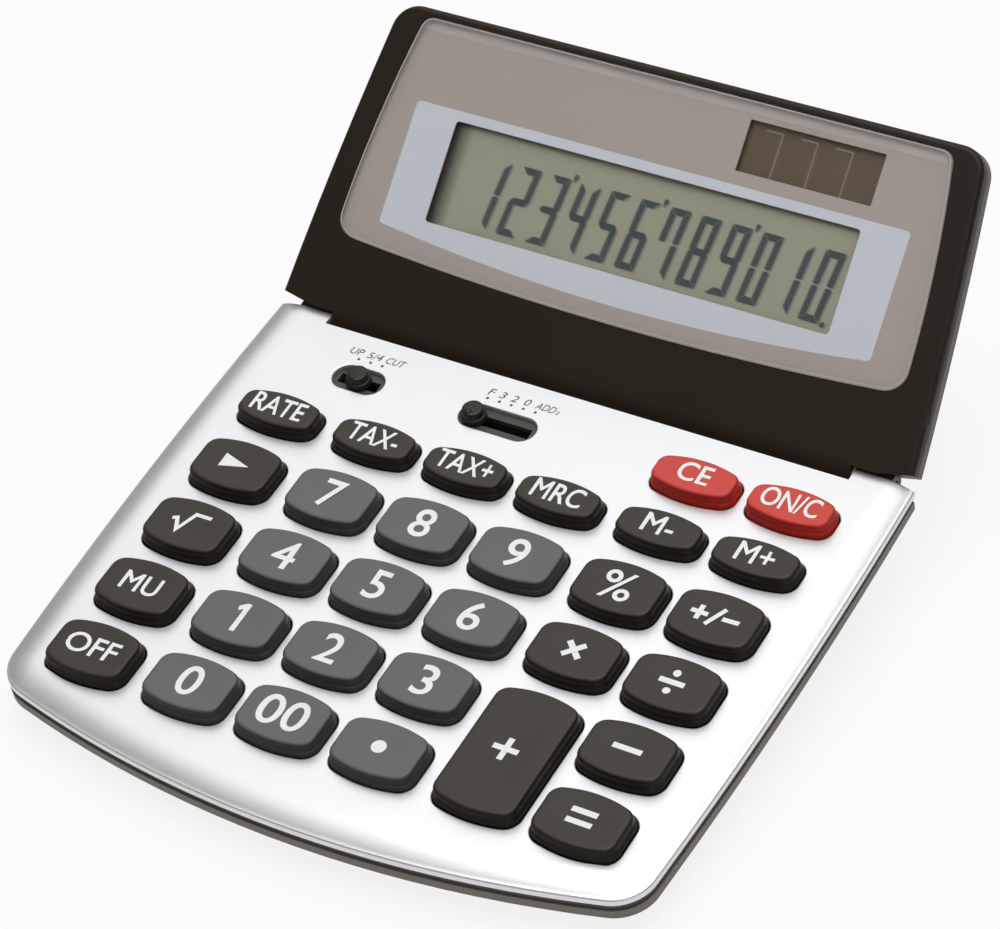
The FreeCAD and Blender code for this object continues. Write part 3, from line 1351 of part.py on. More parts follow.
def make_window():
    """Clear window in its seat, and the printed sheet behind it."""
    lens = new_body("display_lens")
    outline = new_sketch(lens, "outline", "XY_Plane", MASK_TOP)
    loop = lens_loop(S.lens_gap)
    draw(outline, [loop])
    pad(outline, S.lens_thickness)
    round_lens(lens, loop, S.lens_gap)
    in_head(lens)
    mask = new_body("display_mask")
    sheet = new_sketch(mask, "sheet", "XY_Plane", MASK_BOTTOM)
    mask_loop = lens_loop(S.lens_gap)
    draw(sheet, [mask_loop, *window_loops(as_size(0.0))])
    pad(sheet, S.mask_thickness)
    round_lens(mask, mask_loop, S.lens_gap)
    in_head(mask)


def make_plate(name, x, y, width, height, low, high):
    """A flat rectangular piece of the head between two levels."""
    body = new_body(name)
    sketch = new_sketch(body, "outline", "XY_Plane", low)
    draw(sketch, [middle_loop(x, y, width / 2, height / 2)])
    pad(sketch, high - low)
    in_head(body)
    return body


def make_display():
    """Display glass in its carrier, elastomer strips, the head's board and the solar cell."""
    middle = as_size(0.0)
    make_plate("lcd_glass", middle, S.lcd_y, S.lcd_width, S.lcd_height, LCD_BACK, FACE_BACK)
    solar_back = FACE_BACK - S.solar_thickness
    make_plate("solar_cell", S.solar_x, S.solar_y, S.solar_width, S.solar_height, solar_back, FACE_BACK)
    make_plate(
        "head_pcb",
        middle,
        S.lcd_y,
        S.head_board_half_width * 2,
        S.head_board_half_height * 2,
        HUMP_FLOOR,
        HEAD_BOARD_FRONT,
    )
    holder = new_body("lcd_holder")
    frame = new_sketch(holder, "frame", "XY_Plane", LCD_BACK)
    inner_x = S.lcd_width / 2 + S.holder_gap
    inner_y = S.lcd_height / 2 + S.holder_gap
    outer_x = inner_x + S.holder_wall
    outer_y = inner_y + S.holder_wall
    centre = as_size(0.0)
    draw(frame, [
        middle_loop(centre, S.lcd_y, outer_x, outer_y),
        middle_loop(centre, S.lcd_y, inner_x, inner_y),
    ])
    pad(frame, FACE_BACK - LCD_BACK)
    in_head(holder)
    strips = new_body("zebra_strips", several=True)
    rows = new_sketch(strips, "rows", "XY_Plane", HEAD_BOARD_FRONT)
    loops = []
    for side in (-1, 1):
        outer = S.lcd_y + side * (S.lcd_height / 2 - S.strip_inset)
        inner = outer - side * S.strip_width
        low, high = (outer, inner) if side == -1 else (inner, outer)
        loops.append(box_loop(-S.strip_half_length, low, S.strip_half_length, high))
    draw(rows, loops)
    pad(rows, LCD_BACK - HEAD_BOARD_FRONT)
    in_head(strips)


def make_head_screws():
    """Four screws through the rear cover into the front shell's bosses."""
    body = new_body("head_screws", several=True)
    heads = new_sketch(body, "heads", "XY_Plane", HEAD_SEAT)
    draw(heads, circles=[(x, y, S.head_screw_head_radius) for x, y in HEAD_SCREWS])
    pad(heads, S.head_screw_head_height, back=True)
    shanks = new_sketch(body, "shanks", "XY_Plane", HEAD_SEAT)
    draw(shanks, circles=[(x, y, S.head_screw_radius) for x, y in HEAD_SCREWS])
    pad(shanks, S.head_screw_length)
    in_head(body)


def make_ribbon_head():
    """Flat cable from the barrel to the head's board."""
    body = new_body("ribbon_head")
    sketch = new_sketch(body, "run", "YZ_Plane")
    half = S.cable_thickness / 2
    start = S.bore_radius / 4
    bend = S.hump_start + S.back_wall
    low = HEAD_BOARD_FRONT
    high = HEAD_BOARD_FRONT + S.cable_thickness
    land = S.lcd_y - S.head_board_half_height
    draw(sketch, [
        Loop(start, -half)
        .line(bend, -half)
        .line(land, low)
        .line(land + S.cable_board_length / 2, low)
        .line(land + S.cable_board_length / 2, high)
        .line(land + half, high)
        .line(bend + half, half)
        .line(start, half)
        .close()
    ])
    pad(sketch, S.cable_half_width * 2, both=True)
    in_head(body)


def check_model():
    """Stops if any object failed, a cut removed nothing, or a piece isn't a sound solid."""
    for item in doc.Objects:
        if "Invalid" in item.State or "Error" in item.State:
            raise RuntimeError(f"{item.Name} failed: {item.State}")
        if item.TypeId == "PartDesign::Pocket":
            if item.Shape.Volume > item.BaseFeature.Shape.Volume - 1e-3:
                raise RuntimeError(f"{item.Name} cuts nothing")
    for body in pieces:
        if body.Shape.isNull() or not body.Shape.isValid() or not body.Shape.Solids:
            raise RuntimeError(f"{body.Label} is not a sound solid")
        if len(body.Shape.Solids) > 1 and not body.AllowCompound:
            raise RuntimeError(f"{body.Label} falls apart")


def main():
    make_faceplate()
    make_upper_case()
    make_lower_case()
    for key in KEYS:
        make_key(*key)
    make_key_membrane()
    make_main_board()
    for name, middle, _, travel, rest in SWITCHES:
        make_switch(name, middle, travel, rest)
    make_battery()
    make_feet_and_screws()
    make_hinge()
    make_ribbon_base()
    make_head_bezel()
    make_head_back()
    make_window()
    make_display()
    make_head_screws()
    make_ribbon_head()
    doc.recompute()
    check_model()
    os.makedirs("parts", exist_ok=True)
    for body in pieces:
        body.Shape.exportStep(f"parts/{body.Label}.step")
        print(body.Label, len(body.Shape.Solids), round(body.Shape.Volume, 2))


main()
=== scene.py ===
import json
import logging
import math
from dataclasses import dataclass
from enum import Enum
from typing import Callable, Iterable, Sequence

import bpy
import numpy as np
from mathutils import Matrix, Vector
from mathutils.geometry import delaunay_2d_cdt


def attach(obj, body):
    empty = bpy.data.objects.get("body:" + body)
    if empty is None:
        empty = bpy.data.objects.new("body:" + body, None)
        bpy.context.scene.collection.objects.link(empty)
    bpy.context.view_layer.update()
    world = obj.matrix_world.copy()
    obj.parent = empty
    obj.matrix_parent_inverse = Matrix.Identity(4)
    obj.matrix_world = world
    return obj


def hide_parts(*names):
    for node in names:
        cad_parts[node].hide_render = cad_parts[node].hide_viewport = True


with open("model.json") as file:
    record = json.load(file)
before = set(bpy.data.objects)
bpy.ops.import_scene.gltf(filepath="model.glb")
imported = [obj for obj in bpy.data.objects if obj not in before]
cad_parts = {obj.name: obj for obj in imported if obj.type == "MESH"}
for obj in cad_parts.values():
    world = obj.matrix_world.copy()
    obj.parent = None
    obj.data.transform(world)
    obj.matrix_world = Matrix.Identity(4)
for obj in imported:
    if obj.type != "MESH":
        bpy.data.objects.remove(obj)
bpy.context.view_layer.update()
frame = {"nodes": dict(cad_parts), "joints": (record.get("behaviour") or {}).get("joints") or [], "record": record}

log = logging.getLogger("desk_calculator")

MM = 0.001
# Printed matter lies this many millimetres over its surface.
INK_LIFT = 0.03
BASE_BODY = "keyboard_half"
HEAD_BODY = "display_head"


class Slot(Enum):
    """The record's material slots."""

    SILVER = "silver_cover"
    DARK_CASE = "dark_case"
    GREY_CASE = "grey_case"
    NUMBER_KEY = "number_key"
    FUNCTION_KEY = "function_key"
    CLEAR_KEY = "clear_key"
    KNOB = "knob_black"
    HEAD = "head_black"
    HEAD_COVER = "head_cover"
    WINDOW = "clear_window"
    PRINT = "printed_sheet"
    LCD = "lcd"
    SOLAR = "solar_brown"
    DOMES = "dome_rubber"
    BOARD = "board"
    CHIP = "chip_epoxy"
    SWITCH = "switch_body"
    CELL = "cell_steel"
    CONTACT = "contact_steel"
    SCREW = "screw_steel"
    FOOT = "foot_rubber"
    PIN = "pin_steel"
    WASHER = "washer_nylon"
    RIBBON = "ribbon_film"
    INNER = "inner_plastic"
    STRIP = "strip_rubber"


# Places in the object

@dataclass(frozen=True)
class Placement:
    """A local frame: turned about X, then moved. Local coordinates are in millimetres."""

    turn: float
    origin: tuple

    def rotation(self) -> np.ndarray:
        """The turn about X.

        Returns:
            A 3 x 3 matrix.
        """
        c = math.cos(math.radians(self.turn))
        s = math.sin(math.radians(self.turn))
        return np.array([[1.0, 0.0, 0.0], [0.0, c, -s], [0.0, s, c]])

    def points(self, local: np.ndarray) -> np.ndarray:
        """Moves points into the object's frame.

        Args:
            local: points in millimetres, one to a row.

        Returns:
            The same points in metres.
        """
        return (local @ self.rotation().T + np.array(self.origin)) * MM


PANEL_TILT = 5.0
HEAD_ANGLE = 36.6
HINGE_IN_PANEL = np.array([0.0, 0.2, -2.78])


def hinge_point() -> np.ndarray:
    """Returns the head's hinge in the object's frame, in millimetres, as the frame's joint states it."""
    joint = next(joint for joint in frame["joints"] if joint["name"] == "head_tilt")
    return np.array(joint["pos_m"]) / MM


def panel_placement() -> Placement:
    """Returns the key panel's frame, whose origin is on the silver surface at the hinge line."""
    turned = Placement(PANEL_TILT, (0.0, 0.0, 0.0)).rotation() @ HINGE_IN_PANEL
    return Placement(PANEL_TILT, tuple(hinge_point() - turned))


PANEL = panel_placement()
HEAD = Placement(PANEL_TILT + HEAD_ANGLE, tuple(hinge_point()))


# Meshes

def arc(centre: Sequence[float], radius: float, start: float, stop: float, count: int) -> np.ndarray:
    """Points on a circle arc, both ends included.

    Args:
        centre: x and y of the circle.
        radius: its radius.
        start: first angle in radians.
        stop: last angle in radians.
        count: number of points.

    Returns:
        An array of count points.
    """
    angles = np.linspace(start, stop, count)
    return np.stack([centre[0] + radius * np.cos(angles), centre[1] + radius * np.sin(angles)], axis=1)


def at_height(outline: np.ndarray, z: float) -> np.ndarray:
    """Lifts a flat outline to a height."""
    return np.column_stack([outline, np.full(len(outline), z)])


def winding(points: np.ndarray, outline: np.ndarray) -> np.ndarray:
    """How often an outline goes round each point: its crossings of the line to the point's right, signed.

    Args:
        points: one to a row.
        outline: corners of the closed outline in order.

    Returns:
        One whole number to a point, 0 for a point outside.
    """
    x, y = points[:, :1], points[:, 1:2]
    ax, ay = outline[:, 0], outline[:, 1]
    bx, by = np.roll(ax, -1), np.roll(ay, -1)
    step = np.where(by == ay, 1e-12, by - ay)
    right = x < ax + (y - ay) * (bx - ax) / step
    rising = (ay <= y) & (by > y) & right
    falling = (ay > y) & (by <= y) & right
    return rising.sum(axis=1) - falling.sum(axis=1)


def filled(loops: Sequence[np.ndarray]) -> tuple:
    """Fills the area that anticlockwise loops enclose, less that of clockwise ones.

    The triangles are a constrained Delaunay triangulation.

    Args:
        loops: closed outlines.

    Returns:
        The flat points, and the triangles, looking up.
    """
    starts = np.cumsum([0] + [len(loop) for loop in loops])
    edges = [
        (start + corner, start + (corner + 1) % len(loop))
        for start, loop in zip(starts, loops)
        for corner in range(len(loop))
    ]
    made = delaunay_2d_cdt([Vector(point) for point in np.concatenate(loops)], edges, [], 1, 1e-6)
    flat = np.array([tuple(point) for point in made[0]])
    faces = np.array(made[2])
    middles = flat[faces].mean(axis=1)
    faces = faces[sum(winding(middles, loop) for loop in loops) > 0]
    a, b, c = (flat[faces[:, corner]] for corner in range(3))
    area = (b[:, 0] - a[:, 0]) * (c[:, 1] - a[:, 1]) - (b[:, 1] - a[:, 1]) * (c[:, 0] - a[:, 0])
    faces[area < 0] = faces[area < 0][:, ::-1]
    return flat, faces


class Skin:
    """Vertices and faces in millimetres of a local frame, gathered before they become one object."""

    def __init__(self) -> None:
        """Starts with no points and no faces."""
        self.points: list = []
        self.faces: list = []
        self.count = 0

    def add(self, points: np.ndarray, faces: Iterable[Sequence[int]]) -> "Skin":
        """Adds points and the faces between them.

        Args:
            points: 3-D points, one to a row.
            faces: each face's corners, counted from the first of these points.

        Returns:
            The skin itself.
        """
        self.points.append(np.asarray(points, dtype=float))
        self.faces.extend([tuple(int(corner) + self.count for corner in face) for face in faces])
        self.count += len(points)
        return self

    def grid(self, rings: Sequence[np.ndarray], closed: bool = True, flip: bool = False) -> "Skin":
        """Joins rings of equal length with quads.

        Anticlockwise rings that climb give faces that look outwards.

        Args:
            rings: one array of 3-D points to a ring.
            closed: whether each ring returns to its start.
            flip: turns the faces over.

        Returns:
            The skin itself.
        """
        rows = len(rings)
        width = len(rings[0])
        index = np.arange(rows * width).reshape(rows, width)
        after = np.roll(index, -1, axis=1)
        low, high = (index[:-1], after[:-1]), (index[1:], after[1:])
        faces = np.stack([low[0], low[1], high[1], high[0]], axis=2)
        if not closed:
            faces = faces[:, :-1]
        if flip:
            faces = faces[:, :, ::-1]
        return self.add(np.concatenate(rings), faces.reshape(-1, 4))

    def fan(self, ring: np.ndarray, flip: bool = False) -> "Skin":
        """Closes a ring with triangles to its middle.

        Args:
            ring: 3-D points, anticlockwise as seen from outside.
            flip: turns the faces over.

        Returns:
            The skin itself.
        """
        count = len(ring)
        faces = [(corner, (corner + 1) % count, count) for corner in range(count)]
        if flip:
            faces = [face[::-1] for face in faces]
        return self.add(np.vstack([ring, ring.mean(axis=0)]), faces)

    def sheet(self, outline: np.ndarray, z: float, holes: Sequence[np.ndarray] = ()) -> "Skin":
        """A flat sheet with holes, looking up. The outline and the holes are anticlockwise."""
        flat, faces = filled([outline, *(hole[::-1] for hole in holes)])
        return self.add(at_height(flat, z), faces)

    def disc(self, x: float, y: float, radius: float, z: float, count: int = 24) -> "Skin":
        """A flat disc, looking up."""
        turn = 2 * math.pi * (1 - 1 / count)
        return self.fan(at_height(arc((x, y), radius, 0.0, turn, count), z))

    def bar(self, x: float, y: float, wide: float, high: float, z: float, turn: float = 0.0) -> "Skin":
        """A flat rectangle about a point, looking up.

        Args:
            x: its middle.
            y: its middle.
            wide: its width before the turn.
            high: its height before the turn.
            z: its level.
            turn: its turn in its own plane, in degrees.

        Returns:
            The skin itself.
        """
        corners = np.array([[-wide, -high], [wide, -high], [wide, high], [-wide, high]]) / 2
        c, s = math.cos(math.radians(turn)), math.sin(math.radians(turn))
        corners = corners @ np.array([[c, s], [-s, c]]) + [x, y]
        return self.add(at_height(corners, z), [(0, 1, 2, 3)])

    def build(
        self,
        name: str,
        placement: Placement,
        material: bpy.types.Material,
        body: str,
        slot: Slot,
        nodes: Sequence[str] = (),
        smooth: float = 35.0,
    ) -> bpy.types.Object:
        """Makes the object and ties it to the frame.

        Args:
            name: the piece's name.
            placement: the local frame of the points.
            material: its finish.
            body: the CAD body it rides on.
            slot: the record's slot it stands for; not used.
            nodes: CAD nodes it takes the place of.
            smooth: largest angle, in degrees, across which the shading runs on.

        Returns:
            The new object, with its place in its mesh.
        """
        mesh = bpy.data.meshes.new(name)
        mesh.from_pydata(placement.points(np.concatenate(self.points)).tolist(), [], self.faces)
        mesh.validate()
        return finish_piece(name, mesh, material, body, nodes, smooth)


def finish_piece(
    name: str,
    mesh: bpy.types.Mesh,
    material: bpy.types.Material,
    body: str,
    nodes: Sequence[str],
    smooth: float,
) -> bpy.types.Object:
    """Shades a mesh, links it as an object and ties it to the frame.

    Args:
        name: the piece's name.
        mesh: its mesh, in the object's frame.
        material: its finish.
        body: the CAD body it rides on.
        nodes: CAD nodes it takes the place of.
        smooth: largest angle, in degrees, across which the shading runs on.

    Returns:
        The new object.
    """
    mesh.polygons.foreach_set("use_smooth", np.full(len(mesh.polygons), smooth > 0.0))
    mesh.set_sharp_from_angle(angle=math.radians(smooth))
    mesh.materials.clear()
    mesh.materials.append(material)
    piece = bpy.data.objects.new(name, mesh)
    bpy.context.scene.collection.objects.link(piece)
    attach(piece, body)
    if nodes:
        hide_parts(*nodes)
    log.info("%s: %d faces, on %s", name, len(mesh.polygons), body)
    return piece


# Points of a CAD surface this close, in metres, become one.
JOINED_WITHIN = 1e-6
# The shading of a CAD surface's copy runs on across angles up to this one, in degrees.
SMOOTH_WITHIN = 32.0


def skin_of_node(node: str, body: str, material: bpy.types.Material, smooth: float) -> None:
    """A copy of a CAD node's surface with its seams joined, shaded smoothly over its rounded edges.

    Args:
        node: the CAD node.
        body: the CAD body it rides on.
        material: its finish.
        smooth: largest angle, in degrees, across which the shading runs on, or 0 for flat faces.
    """
    source = frame["nodes"][node].data
    count = len(source.vertices)
    points = np.zeros(count * 3)
    source.vertices.foreach_get("co", points)
    cells = np.round(points.reshape(-1, 3) / JOINED_WITHIN).astype(np.int64)
    _, first, joined = np.unique(cells, axis=0, return_index=True, return_inverse=True)
    joined = joined.ravel()
    faces = []
    for polygon in source.polygons:
        corners = [int(joined[corner]) for corner in polygon.vertices]
        if len(set(corners)) == len(corners):
            faces.append(corners)
    mesh = bpy.data.meshes.new(node + "_skin")
    mesh.from_pydata(points.reshape(-1, 3)[first].tolist(), [], faces)
    mesh.validate()
    piece = finish_piece(node + "_skin", mesh, material, body, (node,), smooth)
    if smooth > 0.0:
        flatten = piece.modifiers.new("flat_faces", "WEIGHTED_NORMAL")
        flatten.keep_sharp = True


# Finishes

@dataclass(frozen=True)
class Finish:
    """A moulded or cast material: its colour, its grain and its traces of handling.

    grain_size is in millimetres, and grain_depth is the strength of its relief, from 0 to 1. side is what
    is left of the colour's red, green and blue on faces that stand upright on the panel, as painted shade,
    or empty.
    """

    slot: Slot
    color: tuple
    roughness: float
    grain_size: float = 0.35
    grain_depth: float = 0.0
    mottle: float = 0.06
    smudge: float = 0.05
    specular: float = 0.5
    side: tuple = ()


@dataclass(frozen=True)
class Brushed:
    """A metal, or a foil that looks like one, with fine brush lines along X.

    fineness is in lines to the millimetre, and relief is their height in millimetres.
    """

    slot: Slot
    color: tuple
    roughness: float
    metallic: float = 1.0
    fineness: float = 8.0
    depth: float = 0.2
    relief: float = 0.01
    smudge: float = 0.0


@dataclass(frozen=True)
class Stripes:
    """Two colours in even stripes across X, as of a flat cable or an elastomer strip."""

    slot: Slot
    first: tuple
    second: tuple
    per_mm: float
    roughness: float


@dataclass(frozen=True)
class Ink:
    """A printed colour."""

    name: str
    color: tuple
    roughness: float = 0.45


@dataclass(frozen=True)
class Reflector:
    """The display's reflector: its colour, its shaded colour, and the two shades of the recess's walls.

    Each shade fades between two distances, in millimetres, from the left and from the upper edge.
    """

    color: tuple = (0.325, 0.334, 0.248)
    shaded: tuple = (0.035, 0.033, 0.026)
    left_shade: tuple = (0.6, 4.3)
    top_shade: tuple = (-0.6, 1.0)
    roughness: float = 0.55


@dataclass(frozen=True)
class Acrylic:
    """The clear window: its gloss, its refractive index and how opaque its surface is, from 0 to 1."""

    roughness: float = 0.015
    index: float = 1.49
    alpha: float = 0.15
    smudge: float = 0.04


@dataclass(frozen=True)
class SolderMask:
    """A board's green coat, paler over its copper tracks.

    The tracks are the outer parts of square cells. cells is their number to the metre, border the distance
    from a cell's middle where its track begins, and relief the tracks' height in millimetres.
    """

    color: tuple = (0.02, 0.12, 0.045)
    track: tuple = (0.05, 0.22, 0.09)
    cells: float = 220.0
    border: float = 0.42
    relief: float = 0.03
    roughness: float = 0.35


class Tree:
    """A small builder of shader nodes."""

    def __init__(self, tree: bpy.types.NodeTree) -> None:
        """Takes the node tree to build in."""
        self.tree = tree

    def node(self, kind: str, **values: object) -> bpy.types.Node:
        """Adds a node.

        Args:
            kind: the node's type, without its common beginning.
            values: the node's settings, and values or outputs for its input sockets.

        Returns:
            The new node.
        """
        made = self.tree.nodes.new("ShaderNode" + kind)
        for name, value in values.items():
            if hasattr(made, name):
                setattr(made, name, value)
                continue
            self.feed(made.inputs[name.replace("_", " ")], value)
        return made

    def feed(self, socket: bpy.types.NodeSocket, value: object) -> None:
        """Sets a socket, or links an output to it.

        Args:
            socket: the input.
            value: a plain value, or another node's output.
        """
        if isinstance(value, bpy.types.NodeSocket):
            self.tree.links.new(value, socket)
        else:
            socket.default_value = value

    def math(self, operation: str, *values: object) -> bpy.types.NodeSocket:
        """Adds one arithmetic step.

        Args:
            operation: the Math node's operation.
            values: plain values or outputs for its inputs, in order.

        Returns:
            The step's output.
        """
        made = self.tree.nodes.new("ShaderNodeMath")
        made.operation = operation
        for socket, value in zip(made.inputs, values):
            self.feed(socket, value)
        return made.outputs[0]

    def ramp(self, value: object, start: float, stop: float) -> bpy.types.NodeSocket:
        """Rises in a straight line from 0 to 1 between two values.

        Args:
            value: the output to map.
            start: where it begins to rise.
            stop: where it reaches 1.

        Returns:
            The ramp's output.
        """
        made = self.node("MapRange", Value=value)
        made.inputs["From Min"].default_value = start
        made.inputs["From Max"].default_value = stop
        return made.outputs[0]

    def mix(self, factor: object, first: object, second: object) -> bpy.types.NodeSocket:
        """Mixes two colours.

        Args:
            factor: the second colour's share, from 0 to 1.
            first: a colour, or its output.
            second: a colour, or its output.

        Returns:
            The mixed colour's output.
        """
        made = self.tree.nodes.new("ShaderNodeMix")
        made.data_type = "RGBA"
        # A Mix node has its factor at socket 0, and its colours at sockets 6 and 7.
        for index, value in ((0, factor), (6, first), (7, second)):
            if isinstance(value, tuple) and len(value) == 3:
                value = (*value, 1.0)
            self.feed(made.inputs[index], value)
        return made.outputs[2]


def new_group(name: str, inputs: dict, outputs: Sequence[str]) -> tuple:
    """An empty node group with named number sockets.

    Args:
        name: the group's name.
        inputs: each input's name and default value.
        outputs: the outputs' names.

    Returns:
        The group, its builder, its input node and its output node.
    """
    group = bpy.data.node_groups.new(name, "ShaderNodeTree")
    kind = "NodeSocketFloat"
    for label, value in inputs.items():
        socket = group.interface.new_socket(name=label, in_out="INPUT", socket_type=kind)
        socket.default_value = value
    for label in outputs:
        group.interface.new_socket(name=label, in_out="OUTPUT", socket_type=kind)
    start = group.nodes.new("NodeGroupInput")
    end = group.nodes.new("NodeGroupOutput")
    return group, Tree(group), start, end


def grain_group() -> bpy.types.NodeTree:
    """Spark-eroded grain of a moulded surface.

    Fine noise gives the relief. Slow noise mottles the colour a little.

    Returns:
        The group, with inputs Size (mm), Depth and Mottle, and outputs Height, Tone and Roughness.
    """
    group, tree, start, end = new_group(
        "Moulded grain", {"Size": 0.35, "Depth": 0.2, "Mottle": 0.06}, ("Height", "Tone", "Roughness")
    )
    place = tree.node("TexCoord").outputs["Object"]
    per_metre = tree.math("DIVIDE", 1.0 / MM, start.outputs["Size"])
    fine = tree.node("TexNoise", Vector=place, Scale=per_metre, Detail=3.0, Roughness=0.6).outputs[0]
    slow = tree.node("TexNoise", Vector=place, Scale=60.0, Detail=2.0).outputs[0]
    centred = tree.math("SUBTRACT", slow, 0.5)
    tree.feed(end.inputs["Height"], tree.math("MULTIPLY", fine, start.outputs["Depth"]))
    tree.feed(end.inputs["Tone"], tree.math("MULTIPLY_ADD", centred, start.outputs["Mottle"], 1.0))
    roughness_swing = 0.12
    centred = tree.math("SUBTRACT", fine, 0.5)
    tree.feed(end.inputs["Roughness"], tree.math("MULTIPLY", centred, roughness_swing))
    return group


def smudge_group() -> bpy.types.NodeTree:
    """Traces of handling: broad soft patches where a surface is a little duller.

    Returns:
        The group, with inputs Size (mm) and Amount, and output Roughness.
    """
    group, tree, start, end = new_group("Handling", {"Size": 18.0, "Amount": 0.05}, ("Roughness",))
    place = tree.node("TexCoord").outputs["Object"]
    per_metre = tree.math("DIVIDE", 1.0 / MM, start.outputs["Size"])
    patch = tree.node("TexNoise", Vector=place, Scale=per_metre, Detail=4.0, Distortion=0.4).outputs[0]
    bare, covered = 0.45, 0.7
    mask = tree.ramp(patch, bare, covered)
    tree.feed(end.inputs["Roughness"], tree.math("MULTIPLY", mask, start.outputs["Amount"]))
    return group


def brushed_group() -> bpy.types.NodeTree:
    """Fine parallel brush lines along X: noise stretched a hundredfold.

    Returns:
        The group, with inputs Fineness (lines per mm) and Depth, and outputs Height, Tone and Roughness.
    """
    group, tree, start, end = new_group(
        "Brush lines", {"Fineness": 4.0, "Depth": 0.1}, ("Height", "Tone", "Roughness")
    )
    place = tree.node("TexCoord").outputs["Object"]
    stretched = tree.node("Mapping", Vector=place)
    stretched.inputs["Scale"].default_value = (0.01, 1.0, 1.0)
    per_metre = tree.math("DIVIDE", start.outputs["Fineness"], MM)
    lines = tree.node("TexNoise", Vector=stretched.outputs[0], Scale=per_metre, Detail=4.0, Roughness=0.7)
    streak = tree.math("SUBTRACT", lines.outputs[0], 0.5)
    tone_swing, roughness_swing = 0.05, 0.25
    tree.feed(end.inputs["Height"], tree.math("MULTIPLY", lines.outputs[0], start.outputs["Depth"]))
    tree.feed(end.inputs["Tone"], tree.math("MULTIPLY_ADD", streak, tone_swing, 1.0))
    tree.feed(end.inputs["Roughness"], tree.math("MULTIPLY", streak, roughness_swing))
    return group


